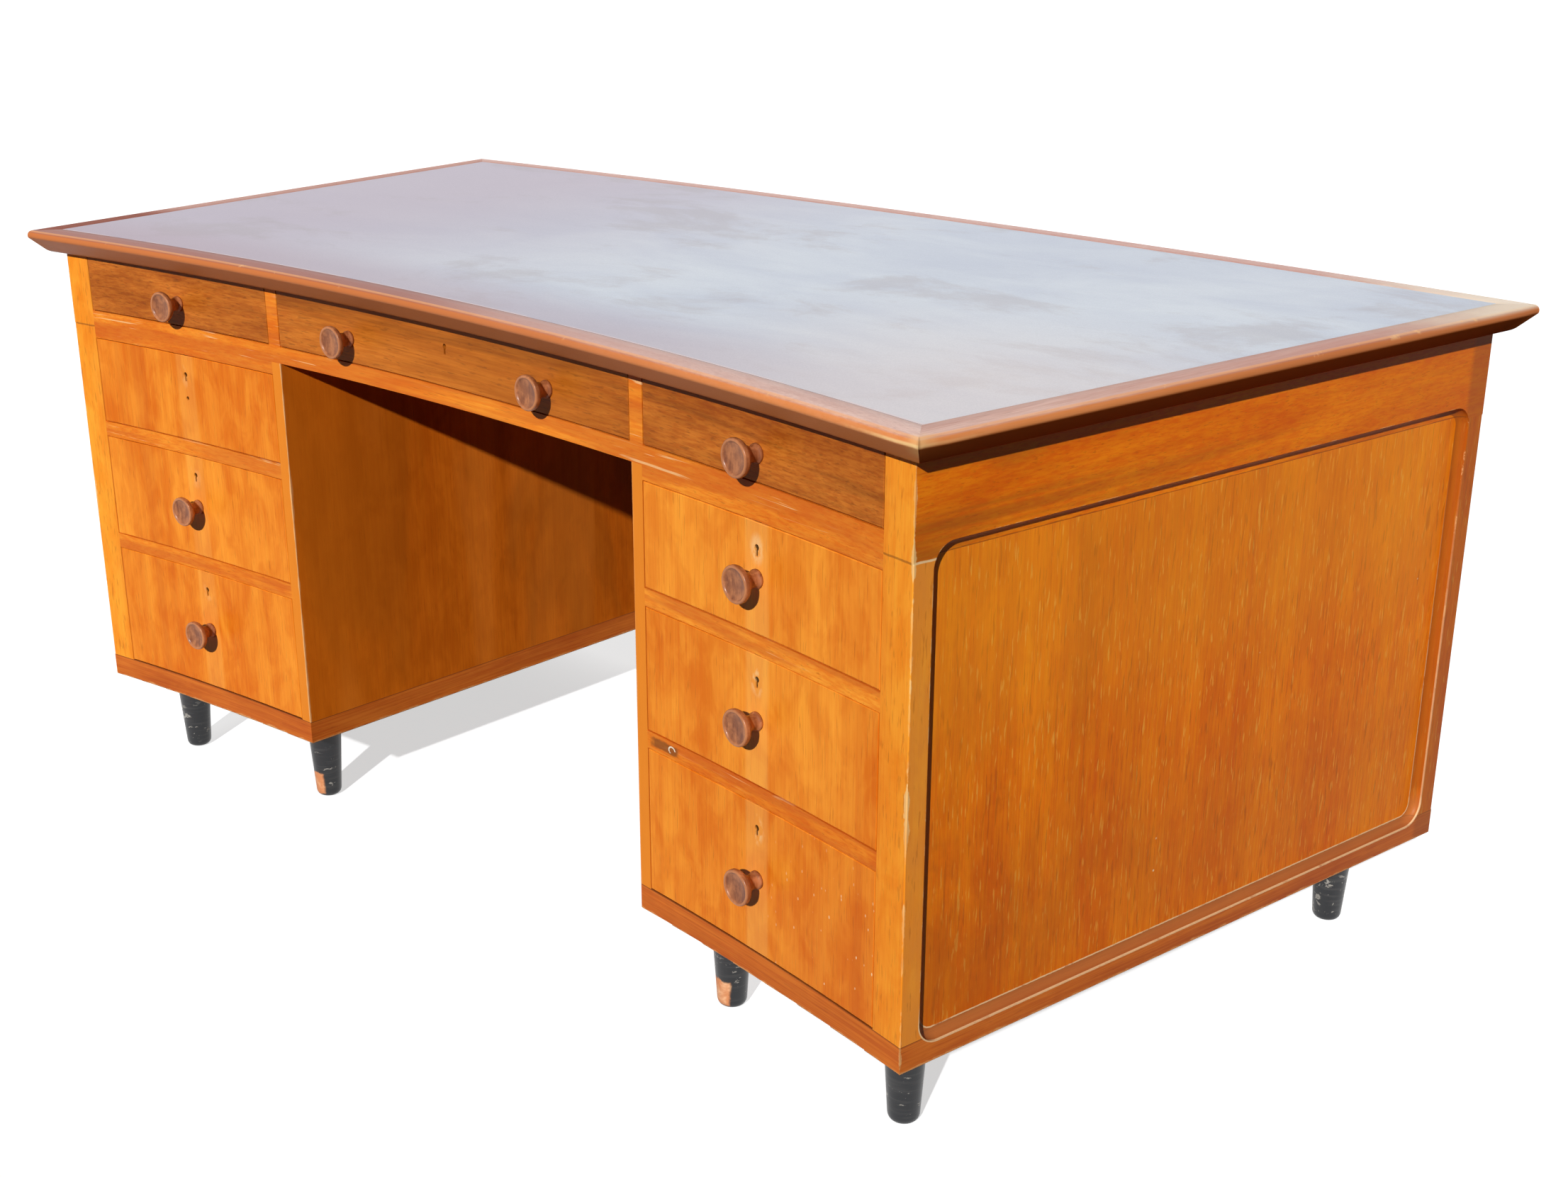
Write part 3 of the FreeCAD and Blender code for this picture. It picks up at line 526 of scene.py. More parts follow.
def joint_marks(finish):
    """A whitish line in the joint under the frieze where it runs from the corner to the recess, and a
    dark one across the front of the post."""
    along, inward = end_frame(finish)
    fray = finish.place.noise(60.0, 2.0, 0.6)
    seam = abs(finish.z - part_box("frieze_base")[0].z + (fray - 0.5) * 0.002).fade(0.0015, 0.0006)
    finish.stain(seam * inward.fade(0.0016, 0.0030) * 0.55, "grime_and_shade")
    finish.wear(seam * along.fade(0.040, 0.032) * inward.fade(0.0016, 0.0008) * 0.75)


def arris_marks(finish):
    """The worn arris of a front corner: a ragged pale line that widens at two chips, each with its
    height, reach and depth; the larger is a little above the lower drawer."""
    chips = (0.395, 0.045, 0.0026), (0.636, 0.030, 0.0012)
    ragged = finish.place.noise((60, 60, 30), 4.0, 0.7)
    there = finish.place.noise(9.0, 2.0, 0.6).fade(0.40, 0.60)
    burst = sum(abs(finish.z - height).fade(reach, 0.010) * depth for height, reach, depth in chips)
    edge = (span(*end_frame(finish)) - burst + (ragged - 0.5) * 0.012).fade(0.0014, 0.0004)
    finish.wear(edge * (there * 0.50 + 0.16), (244, 206, 140))


def post_marks(finish):
    """The corner posts: browner on the end face, as painted shade for the side that the light grazes, and
    veneered like the panel inside the recess.
    """
    along, inward = end_frame(finish)
    cloud = finish.place.noise((26, 26, 9), 4.0, 0.65)
    # painted shade: the post's end face made browner than its front
    finish.stain(along.fade(0.0004, 0.0016) * (cloud.fade(0.3, 0.7) * 0.7 + 0.3), (230, 140, 50))
    finish.stain(flecks(finish.place, "Z", 300.0, 45.0) * 0.30, (150, 72, 14))
    inside = inward.fade(0.0088, 0.0098) * rim_distance(finish).fade(-0.0084, -0.0092)
    veneer = wood_layers(finish.place, "Z", "end_pale", "end_deep", 8.0, 70.0)[0]
    finish.tint = mixed(inside, finish.tint, veneer)


def pedestal_front_marks(finish):
    """A pale strip down the middle of each drawer, darker stripes outside it, scuffs round the
    keyholes, painted shade inside the keyhole bores, and small chips low on the right."""
    keyhole_drop = 0.0275
    middle = finish.side - knob_x()
    right = finish.x.fade(-0.02, 0.02)
    stripe = finish.place.noise((26, 26, 0.6))
    finish.stain(stripe.fade(0.52, 0.66) * middle.fade(0.02, 0.05) * 0.30, (198, 92, 20))
    strip = (abs(middle) + finish.place.noise((60, 60, 7)) * 0.006).fade(0.023, 0.017)
    finish.stain(strip * (right * 0.10 + 0.18), (255, 190, 96))
    scuff = finish.place.noise((90, 90, 60), 3.0, 0.6).fade(0.46, 0.60)
    for row in ROWS:
        rise = finish.z - (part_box("right_drawer_%s_front" % row)[1].z - keyhole_drop)
        spot = (middle * middle * 2.5 + rise * rise) ** 0.5
        finish.stain(scuff * spot.fade(0.020, 0.008) * (right * 0.30 + 0.15), (252, 218, 160))
    # painted shade: the inside of each keyhole bore, behind the front face, made nearly black
    bore = abs(middle).fade(0.0050, 0.0046) * front_depth(finish).fade(0.0008, 0.0030)
    finish.stain(bore * 0.9, (40, 20, 8))
    low = finish.z.fade(0.36, 0.20) * finish.x.fade(0.50, 0.62)
    finish.stain(low * 0.14, (190, 84, 30))
    chips = specks(finish.place.moved((1, 1, 0.5)), 170.0, 0.19, 0.34)
    finish.wear(chips * low * 0.8, (250, 222, 176))


def rail_marks(finish):
    """Rails a shade redder low down, with fine pale scratches along their front edges and, on one, a
    dark patch with dabs of old paint."""
    scratch = finish.place.noise((7, 20, 260), 2.0, 0.5, 1.0).fade(0.64, 0.70)
    patchy = finish.place.noise((5, 5, 3)).fade(0.46, 0.60)
    red = finish.place.noise((4, 4, 60)).fade(0.42, 0.60)
    finish.stain(red * 0.5, (196, 88, 26))
    finish.wear(scratch * patchy * front_depth(finish).fade(0.004, 0.001) * 0.55, (252, 214, 156))
    patch_x, patch_z = 0.366, 0.331
    x, z = finish.x - patch_x, finish.z - patch_z
    ragged = finish.place.noise(120.0, 3.0, 0.6)
    patch = (abs(x) + ragged * 0.012).fade(0.032, 0.024) * (abs(z) + ragged * 0.004).fade(0.009, 0.006)
    finish.stain(patch * 0.75, (112, 62, 22))
    dab = ((x - 0.012) * (x - 0.012) + z * z * 1.6) ** 0.5
    ring = abs(dab - 0.0050).fade(0.0012, 0.0006)
    finish.wear(ring * ragged.fade(0.42, 0.50) * 0.9, (252, 238, 214))


def end_marks(finish):
    """Short light and dark dashes in the end veneer, dark vertical bands, cloudy mottling with painted
    shade over it towards the front and the foot, a painted light on the upper part short of the rear,
    painted shade low down, and a few small chips."""
    along = end_frame(finish)[0]
    finish.stain(flecks(finish.place, "Z", 330.0, 42.0) * 0.50, (255, 186, 76))
    finish.stain(flecks(finish.place.moved(shift=(3, 5, 7)), "Z", 240.0, 26.0) * 0.34, (140, 62, 4))
    finish.stain(finish.place.noise((9, 9, 0.4)).fade(0.50, 0.66) * 0.16, (150, 66, 4))
    cloudy = finish.place.noise((14, 14, 6), 5.0, 0.7, 0.6).fade(0.36, 0.66)
    # painted shade: darker towards the front and the foot, laid over the real cloudy mottling, whose own
    # share is the 0.12
    painted_shade = along.fade(0.55, 0.02) * finish.z.fade(0.66, 0.25)
    finish.stain((painted_shade * 0.30 + 0.12) * cloudy, (166, 74, 4))
    # painted light: the upper part, short of the rear, made paler
    finish.stain(finish.z.fade(0.36, 0.54) * along.fade(0.86, 0.72) * 0.20, (255, 174, 50))
    # painted shade: darker low down
    finish.stain(finish.z.fade(0.42, 0.24) * 0.18, (150, 66, 0))
    finish.wear(specks(finish.place, 46.0, 0.075, 0.05) * 0.8)


def frieze_end_marks(finish):
    """Olive-brown streaks in the frieze end, darkest towards the front corner, and a few chips."""
    along = end_frame(finish)[0]
    smoke = finish.place.noise((1.6, 1.6, 24), 3.0, 0.6, 0.5)
    finish.stain(smoke.fade(0.50, 0.68) * (along.fade(0.5, 0.0) * 0.25 + 0.22), (132, 76, 14))
    finish.stain(along.fade(0.16, 0.0) * finish.z.fade(0.730, 0.640) * 0.36, (128, 76, 16))
    finish.stain(along.fade(0.45, 0.80) * 0.25, (190, 92, 20))
    finish.wear(specks(finish.place, 30.0, 0.06, 0.05) * 0.8)


def frieze_front_marks(finish):
    """Frieze drawers: the middle one more golden, with smoky streaks and short dark dashes."""
    finish.stain(finish.side.fade(0.36, 0.20) * 0.25, (212, 124, 36))
    smoke = finish.place.noise((1.8, 1.8, 50), 4.0, 0.65, 0.6)
    finish.stain(smoke.fade(0.50, 0.66) * 0.34, (96, 50, 10))
    finish.stain(flecks(finish.place, "X", 420.0, 50.0) * 0.35, (92, 48, 12))
    finish.gloss = finish.gloss + smoke * 0.06


def side_marks(finish):
    """The inner sides: a pale, chipped front edge, clouds on the broad face, and a painted light that
    makes the broad face paler towards the front.
    """
    depth = front_depth(finish)
    edge = depth.fade(0.0012, 0.0004)
    broad = 1.0 - edge
    finish.stain(edge * 0.75, (242, 146, 50))
    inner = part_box("right_pedestal_inner_side")[0].x
    fray = finish.place.noise((50, 50, 20), 3.0, 0.6)
    corner = ((finish.side - inner) + depth.most(0.0) + (fray - 0.5) * 0.007).fade(0.0022, 0.0010)
    finish.wear(corner * (finish.x.fade(0.1, -0.1) * 0.40 + 0.10), (240, 204, 150))
    dark = finish.place.noise((5, 5, 1.6), 3.0, 0.6, 1.2).fade(0.48, 0.66)
    finish.stain(dark * broad * 0.34, (112, 56, 12))
    # painted light: the broad face paler towards the kneehole's opening
    finish.stain(depth.fade(0.30, 0.02) * broad * 0.30, (240, 128, 26))
    light = finish.place.noise((7, 7, 1.0), 2.0, 0.5, 1.0).fade(0.50, 0.64)
    finish.stain(light * broad * 0.25, (236, 136, 46))


def base_marks(finish):
    """A pale worn line along the bases' lower edges, and painted shade in the gap along the upper one."""
    low, high = (v.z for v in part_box("right_pedestal_base"))
    fray = finish.place.noise((40, 40, 90), 3.0, 0.65)
    finish.wear((finish.z - low + (fray - 0.5) * 0.010).fade(0.0034, 0.0016) * 0.55, (236, 176, 112))
    # painted shade: a dark line in the gap along the base's upper edge
    finish.stain((high - finish.z).fade(0.0016, 0.0004) * 0.7, "grime_and_shade")


# ---------------------------------------------------------------- operators

def dress(nodes, material):
    """Gives CAD nodes a material on their own slots."""
    for name in nodes:
        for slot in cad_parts[name].material_slots:
            slot.material = material


def named(*ends):
    """The CAD nodes whose names end in one of the given words."""
    return [n for n in sorted(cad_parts) if n.endswith(ends)]


class DESK_OT_drawer_fronts(bpy.types.Operator):
    """Veneer the nine drawer fronts: upright figure on the pedestals, level figure on the frieze"""
    bl_idname = "desk.drawer_fronts"
    bl_label = "Drawer fronts"

    def execute(self, context):
        for seed, row in enumerate(ROWS):
            veneer = wood("upright veneer " + row, "drawer_pale", "drawer_deep", "Z", 9.0, 48.0,
                          extra=[pedestal_front_marks], seed=3.1 * seed, fine=0.24, cloud=0.40)
            dress(named("drawer_" + row + "_front"), veneer)
        for seed, place in enumerate(("left", "centre", "right")):
            veneer = wood("frieze veneer " + place, "frieze_pale", "frieze_deep", "X", 26.0, 110.0,
                          extra=[frieze_front_marks], seed=2.3 * seed)
            dress(["frieze_drawer_" + place + "_front"], veneer)
        return {"FINISHED"}


class DESK_OT_carcass(bpy.types.Operator):
    """Finish the posts, rails, ends, sides, backs and bases"""
    bl_idname = "desk.carcass"
    bl_label = "Carcass"

    def execute(self, context):
        edges = [cove_marks, joint_marks, arris_marks]
        drawer, end, side, base = (("%s_pale" % n, "%s_deep" % n) for n in ("drawer", "end", "side", "base"))
        dress(named("front_post", "frieze_post_left", "frieze_post_right"),
              wood("corner post", "post_pale", "post_deep", "Z", 14.0, 40.0, extra=[post_marks] + edges,
                   fine=0.25, cloud=0.45))
        dress(named("_dividers", "frieze_base", "partition_left", "partition_right"),
              wood("rail", *drawer, "X", 14.0, 60.0, extra=[rail_marks]))
        dress(named("end_panel", "back_panel", "back_post"),
              wood("end panel veneer", *end, "Z", 8.0, 60.0, extra=[end_marks, cove_marks], fine=0.36,
                   cloud=0.30))
        dress(named("frieze_end_left", "frieze_end_right", "frieze_back"),
              wood("frieze end veneer", *end, "Y", 22.0, 80.0, extra=[frieze_end_marks] + edges))
        dress(named("inner_side"), wood("inner side veneer", *side, "Z", 7.0, 36.0, extra=[side_marks],
                                        fine=0.20, cloud=0.36, shine=0.03))
        dress(named("pedestal_base"), wood("base", *base, "level", 16.0, 60.0,
                                           extra=[base_marks, arris_marks, cove_marks]))
        dress(["desktop_panel"], wood("panel core", *side, "X"))
        return {"FINISHED"}


class DESK_OT_drawer_linings(bpy.types.Operator):
    """Finish the drawer boxes and the locks"""
    bl_idname = "desk.drawer_linings"
    bl_label = "Drawer linings and locks"

    def execute(self, context):
        dress(named("_box"), wood("drawer lining", "lining", "lining_deep", "Y", 12.0, 70.0, roughness=0.55))
        finish = Finish("lock brass")
        patina = finish.place.noise(240.0, 3.0)
        finish.tint = mixed(patina.fade(0.35, 0.65), tone(120, 96, 50), tone(168, 138, 78))
        finish.gloss = patina * 0.3 + 0.3
        dress(named("_lock"), finish.shade(Metallic=1.0))
        return {"FINISHED"}


class DESK_OT_writing_surface(bpy.types.Operator):
    """Finish the inset writing surface"""
    bl_idname = "desk.writing_surface"
    bl_label = "Writing surface"

    def execute(self, context):
        finish = Finish("blue-grey writing surface")
        cloud = finish.place.moved((2.2, 3.0, 1), (2.0, 0.7, 0)).noise(1.0, 4.0, 0.6, 0.8)
        wipe = finish.place.moved((5.0, 12.0, 1), turn=(0, 0, 0.45)).noise(1.0, 5.0, 0.62, 0.6)
        smudge = finish.place.moved((3.6, 6.0, 1), (0.6, 0.2, 0)).noise(1.0, 6.0, 0.68, 0.3)
        fray = finish.place.noise((9, 9, 1), 3.0, 0.6)
        speck = finish.place.noise(700.0, 2.0, 0.6)
        centre, radius = Outline().top_front
        border = arc_depth(finish, centre, radius + turning().lipping_width)
        finish.gloss = wipe * 0.16 + 0.40
        finish.tint = mixed(cloud.fade(0.34, 0.66) * 0.55 + wipe.fade(0.32, 0.68) * 0.45,
                            colour("leather_deep"), colour("leather_pale"))
        finish.stain(finish.x.fade(0.2, -0.65) * 0.75, (180, 162, 178))
        finish.stain(smudge.fade(0.52, 0.66) * 0.38, (160, 150, 154))
        finish.stain(finish.x.fade(0.2, 0.7) * finish.y.fade(0.1, -0.3) * 0.55, (228, 212, 208))
        finish.stain(border.fade(0.15, 0.01) * finish.x.fade(0.80, 0.30) * 0.55, (170, 146, 160))
        finish.stain(speck.fade(0.6, 0.4) * 0.08, (120, 122, 140), "MULTIPLY")
        finish.stain(line(border - 0.0016, 0.0016, fray + 0.06) * 0.8, (224, 202, 202))
        finish.stain(border.fade(0.0006, 0.0) * 0.6, "grime_and_shade")
        dress(["writing_surface"], finish.shade(speck, 0.15, 0.0002, Coat_Weight=0.4, Coat_Roughness=0.5))
        return {"FINISHED"}


class DESK_OT_lipping(bpy.types.Operator):
    """Make the four mitred lengths of lipping, with their moulded nose"""
    bl_idname = "desk.lipping"
    bl_label = "Lipping"

    def execute(self, context):
        outline = Outline()
        front, back = outline.top_front, outline.top_back
        # painted shade on the bevel: a quarter of the shadow colour on the front and back, nearly all of it
        # on the ends
        level = self.material(outline, "lipping", 0.25, (52, 34, 6), 0.12)
        end = self.material(outline, "lipping end", 0.95, (168, 88, 38), 0.0)
        section = self.section(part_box("desktop_lipping"), turning())
        inset = section[:, 0]
        fore, aft = (front[0], front[1] + inset), (back[0], back[1] - inset)
        near, far = (outline.meets(circle, inset - plan().end_overhang) for circle in (fore, aft))
        near_left, far_left = near * [-1.0, 1.0], far * [-1.0, 1.0]
        for name, start, stop, circle, material in (("lipping_front", near_left, near, fore, level),
                                                    ("lipping_right", near, far, None, end),
                                                    ("lipping_back", far, far_left, aft, level),
                                                    ("lipping_left", far_left, near_left, None, end)):
            mesh = self.length_of(name, start, stop, circle, section)
            piece = add_piece(name, mesh, "carcass", material)
            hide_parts("desktop_lipping")
        return {"FINISHED"}

    @staticmethod
    def section(box, t):
        """Inset from the outer face and height of the section's points, from the inner top corner over
        the nose to the inner bottom corner: a quarter circle of the upper radius, a short upright band,
        then a bevel back to the flat underside, its two ends eased."""
        low, high = box[0].z, box[1].z
        soft = 0.0006
        flat = np.array([[t.lipping_width, high - soft], [t.lipping_width - soft, high],
                         [(t.lipping_width + t.nose_upper) / 2, high]])
        angle = np.linspace(0, math.pi / 2, 14)
        upper = np.stack([t.nose_upper * (1 - np.sin(angle)), high - t.nose_upper * (1 - np.cos(angle))], 1)
        bevel = np.array([upper[-1], [0.0, high - t.nose_upper - t.nose_band], [t.nose_bevel, low],
                          [t.lipping_width, low]])
        lower = fillet(bevel, {1: t.nose_band * 0.9, 2: t.nose_band * 3}, 9)[1:]
        return np.concatenate([flat, upper, lower])

    @staticmethod
    def length_of(name, start, stop, circle, section):
        """One length's mesh: each point of the section runs along its own offset line or arc, and both
        its ends bend round half of a corner's rounding, as far as the mitre, where the points of all
        the lines meet those of the next length. Its UV map holds the distances along the length and
        round the section."""
        edge = 20  # number of one of the section's outermost points
        rounding = np.maximum(turning().corner - section[:, 0], 0.0004)
        share = np.linspace(0, 1, 28 if circle is None else 56)[:, None, None]
        if circle is None:
            path = start + (stop - start) * share
        else:
            centre = np.array([0, circle[0]])
            angle = [np.arctan2(*(q - centre).T) for q in (start, stop)]
            turn = angle[0] + (angle[1] - angle[0]) * share[..., 0]
            path = centre + np.stack([np.sin(turn), np.cos(turn)], -1) * circle[1][None, :, None]
        for _ in range(2):  # bends the first end and turns the path round, twice
            run = path[1] - path[0]
            run /= np.linalg.norm(run, axis=1, keepdims=True)
            inner = path[0, 0] - path[0, edge]
            inner /= np.linalg.norm(inner)
            half = np.arccos(np.clip(run @ inner, 0.2, 0.98))
            first = path[0] + inner * (rounding * (1 / np.sin(half) - 1))[:, None]
            second = first + run * (rounding / np.tan(half))[:, None]
            middle = (first + second) / 2 - inner * (rounding * 0.06)[:, None]
            path = np.concatenate([[first, middle, second], path[1:]])[::-1]
        height = np.broadcast_to(section[:, 1][None, :, None], (*path.shape[:2], 1))
        points = np.concatenate([path, height], 2)
        u, v = (np.concatenate([[0], np.cumsum(np.linalg.norm(np.diff(row, axis=0), axis=1))])
                for row in (points[:, edge], section))
        uv = np.stack(np.meshgrid(u, v, indexing="ij"), -1).astype(np.float32).reshape(-1, 2)
        index = np.arange(len(uv)).reshape(points.shape[:2])
        mesh = smooth_mesh(name, points, ring_faces(index, True), 2)
        corners = np.zeros(len(mesh.loops), np.int32)
        mesh.loops.foreach_get("vertex_index", corners)
        mesh.uv_layers.new(name="Along").data.foreach_set("uv", uv[corners].reshape(-1))
        return mesh

    @staticmethod
    def material(outline, name, painted_shade, shadow, shine):
        """Pinkish flat, a painted highlight along the nose's upper rounding, orange nose, and a bevel below
        it darkened by painted shade, the given share of a shadow colour; browner along the front, worn at the
        near corner and bleached round the far one. shine is the specular level. brow and chin are the
        distances round the section to its turn over the edge and to the lower end of the upright band."""
        brow, chin = 0.030, 0.0385
        finish = Finish(name)
        uv = finish.start.node("ShaderNodeUVMap", uv_map="Along")
        across = uv.axis("Y")
        pattern = uv.node("ShaderNodeCombineXYZ", {0: uv.axis("X"), 1: across, 2: finish.x * 0.3})
        finish.tint, height, bands = wood_layers(pattern, "X", "lipping_pale", "lipping_deep", 24.0, 120.0)
        near, far = (outline.meets(circle, -plan().end_overhang).tolist()
                     for circle in (outline.top_front, outline.top_back))
        to_near, to_far = (span(finish.x - x, finish.y - y) for x, y in (near, far))
        fray = finish.place.noise(26.0, 4.0, 0.6)
        scuff = finish.place.noise(40.0, 4.0, 0.65)
        corner = (to_near + fray * 0.03).fade(0.040, 0.016)
        bleached = (to_far + fray * 0.14).fade(0.38, 0.10) * across.fade(brow + 0.007, brow - 0.001)
        away = to_near.fade(0.10, 0.60)
        remote = to_near.fade(0.50, 0.85) * finish.y.fade(-0.20, -0.30)
        finish.stain(away * 0.60, (176, 112, 96))
        finish.stain(remote * 0.80, (150, 84, 70))
        nose = mixed(away, colour("lipping_nose"), tone(204, 118, 58))
        finish.tint = mixed(across.fade(brow + 0.0010, brow + 0.0045) * 0.85, finish.tint, nose)
        # painted highlight: a pale band where the nose turns over its upper rounding
        finish.stain(abs(across - brow).fade(0.0026, 0.0010) * 0.55, (248, 178, 122))
        finish.stain(corner * 0.6, (246, 196, 132))
        finish.stain(bleached * 0.85, (240, 222, 196))
        edge = abs(across - (brow + 0.001)).fade(0.005, 0.001)
        finish.stain(scuff.fade(0.60, 0.70) * edge * 0.6, (246, 196, 140))
        # painted shade: the bevel under the nose takes the shadow colour, as much as the given share says
        finish.stain(across.fade(chin - 0.0005, chin + 0.0035) * painted_shade, shadow)
        rubbed = (to_near + scuff * 0.10).fade(0.15, 0.05) * abs(across - chin).fade(0.0024, 0.0006)
        finish.stain(rubbed * (0.95 - painted_shade * 0.75), (254, 216, 152))
        finish.gloss = bands * 0.12 + 0.38 + corner * 0.2
        coat = across.fade(brow + 0.004, brow - 0.004) * (0.9 - remote * 0.72)
        return finish.shade(height, 0.3, 0.0003, Specular_IOR_Level=shine, Coat_Weight=coat,
                            Coat_Roughness=0.45)


class DESK_OT_knobs(bpy.types.Operator):
    """Turn the nine knobs: slim waisted neck, disc-like head, raised rim round a dished face"""
    bl_idname = "desk.knobs"
    bl_label = "Knobs"

    def execute(self, context):
        outline, t = Outline(), turning()
        material, profile = self.material(), self.profile(t)
        for node in named("_knob", "_knobs"):
            low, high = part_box(node)
            z = (low.z + high.z) / 2
            places = [math.copysign(knob_x(), low.x)] if node.endswith("_knob") else [-t.knob_spread,
                                                                                    t.knob_spread]
            grids = [turned(profile, *self.seat(outline, x, z)) for x in places]
            mesh = turned_mesh(node + "_turned", grids, self.rims(profile, t))
            piece = add_piece(node + "_turned", mesh, node.rsplit("_", 1)[0], material)
            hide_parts(node)
        return {"FINISHED"}

    @staticmethod
    def seat(outline, x, z):
        """Where a knob stands on the hollow front, and the direction square to it."""
        circle = outline.body_front
        y = outline.arc_y(circle, x)
        return np.array([x, y, z]), np.array([-x, circle[0] - y, 0.0])

    @staticmethod
    def profile(t):
        """Radius and height of the profile's points, from the seat round the rim to the dished face."""
        head, top = t.knob_radius, t.knob_height
        under = top - t.knob_disc
        points = np.array([
            [0.0002, 0.0], [t.knob_base, 0.0], [t.knob_base, 0.0022], [t.knob_neck + 0.0003, 0.0050],
            [t.knob_neck, 0.0100], [t.knob_neck + 0.0024, 0.0150], [head * 0.74, under - 0.0045],
            [head - 0.0012, under - 0.0012], [head, under + 0.0010], [head, top - 0.0004],
            [head - 0.0030, top - 0.0001], [head - 0.0042, top - 0.0016], [head * 0.45, top - 0.0027],
            [0.0002, top - 0.0030]])
        rounded = {2: 0.0008, 3: 0.0016, 4: 0.0022, 5: 0.0022, 6: 0.0022, 7: 0.0010, 8: 0.0008, 9: 0.0018,
                   10: 0.0010, 11: 0.0008, 12: 0.004}
        return fillet(points, rounded, 7)

    @staticmethod
    def rims(profile, t):
        """How much each ring of the profile belongs to the raised rim, 0 to 1."""
        ring = 1 - np.abs(profile[:, 0] - (t.knob_radius - 0.0018)) / 0.0024
        lift = (profile[:, 1] - (t.knob_height - 0.0035)) / 0.0015
        return np.clip(ring, 0, 1) * np.clip(lift, 0, 1)

    @staticmethod
    def material():
        """Dark turned wood, paler in blotches and on the raised rim."""
        finish = Finish("turned knob")
        rim = finish.start.node("ShaderNodeAttribute", output=2, attribute_name="rim")
        fibre = grain(finish.place, "Z", 220.0, 40.0, 4.0, 0.6)
        blotch = finish.place.noise(90.0, 3.0, 0.6)
        finish.tint = mixed(fibre.fade(0.3, 0.7) * 0.35 + blotch.fade(0.40, 0.65) * 0.35,
                            colour("knob_deep"), colour("knob_pale"))
        finish.stain(rim * 0.75, "knob_pale")
        finish.gloss = blotch * 0.2 + 0.28
        return finish.shade(fibre, 0.25, 0.0003, Specular_IOR_Level=0.25, Coat_Weight=0.10,
                            Coat_Roughness=0.2)


class DESK_OT_legs(bpy.types.Operator):
    """Turn the eight tapered legs, ebonised and worn at the feet"""
    bl_idname = "desk.legs"
    bl_label = "Legs"

    def execute(self, context):
        outline, t = Outline(), turning()
        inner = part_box("right_pedestal_inner_side")[0].x + t.leg_inset
        front = (outline.body_front[0], outline.body_front[1] + t.leg_inset)
        back = (outline.body_back[0], outline.body_back[1] - t.leg_inset)
        feet = [outline.meets(front, t.leg_inset), outline.meets(back, t.leg_inset),
                (inner, float(outline.arc_y(front, inner))), (inner, float(outline.arc_y(back, inner)))]
        profile = self.profile(t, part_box("right_pedestal_base")[0].z)
        material = self.material(*feet[2])
        for side, hand in ((1, "right"), (-1, "left")):
            grids = [turned(profile, (side * x, y, 0.0), (0, 0, 1), 96) for x, y in feet]
            mesh = turned_mesh(hand + "_legs_turned", grids)
            piece = add_piece(hand + "_legs_turned", mesh, "carcass", material)
            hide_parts(hand + "_pedestal_legs")
        return {"FINISHED"}

    @staticmethod
    def profile(t, height):
        """Radius and height of a leg's points: an eased foot, then a straight taper in many steps."""
        points = np.array([[0.0002, 0.0], [t.leg_foot, 0.0], [t.leg_top, height], [0.0002, height]])
        rounded = fillet(points, {1: 0.009}, 10)
        straight = np.linspace(0.02, 0.98, 30)[:, None]
        side = rounded[-3] + (rounded[-2] - rounded[-3]) * straight
        return np.concatenate([rounded[:-2], side, rounded[-2:]])

    @staticmethod
    def material(x, y):
        """Black paint with small chips and, on the outer rear leg, larger ones; one bare patch low on
        the front of each inner front leg, which stands at x and y and their mirror image."""
        patch_height = 0.021
        finish = Finish("ebonised leg")
        patch = finish.place.noise(60.0, 4.0, 0.65, 0.4)
        ring = finish.place.noise((20, 20, 200))
        hand = finish.x.fade(-0.01, 0.01) * 2.0 - 1.0
        facing = (finish.x - hand * x) * -0.80 + (finish.y - y) * -0.60
        front = (facing + patch * 0.008).fade(0.002, 0.006) * abs(finish.side - x).fade(0.040, 0.035)
        bare = front * (abs(finish.z - patch_height) + patch * 0.016).fade(0.025, 0.022)
        flake = finish.place.noise((42, 42, 110), 4.0, 0.7).fade(0.60, 0.64)
        chips = flake * finish.z.fade(0.085, 0.045) * finish.z.fade(0.004, 0.012)
        rear = finish.x.fade(0.60, 0.70) * finish.y.fade(0.10, 0.20)
        finish.tint = mixed(ring.fade(0.50, 0.70) * 0.25, colour("ebonised"), tone(84, 82, 80))
        finish.stain(chips.most(patch.fade(0.57, 0.61) * rear) * 0.75, (176, 170, 160))
        timber = mixed(patch.fade(0.4, 0.7), tone(216, 138, 88), tone(246, 190, 144))
        finish.tint = mixed(bare, finish.tint, timber)
        finish.gloss = bare * 0.25 + 0.32
        return finish.shade(patch - bare * 0.4, 0.3, 0.0006)


def seen_directly(start):
    """1 for camera rays and for what shows in a gloss or through glass, 0 for the light that falls."""
    view, gloss, glass = (start.node("ShaderNodeLightPath", output=name) for name in
                          ("Is Camera Ray", "Is Glossy Ray", "Is Transmission Ray"))
    return (view + gloss + glass).least(1.0)


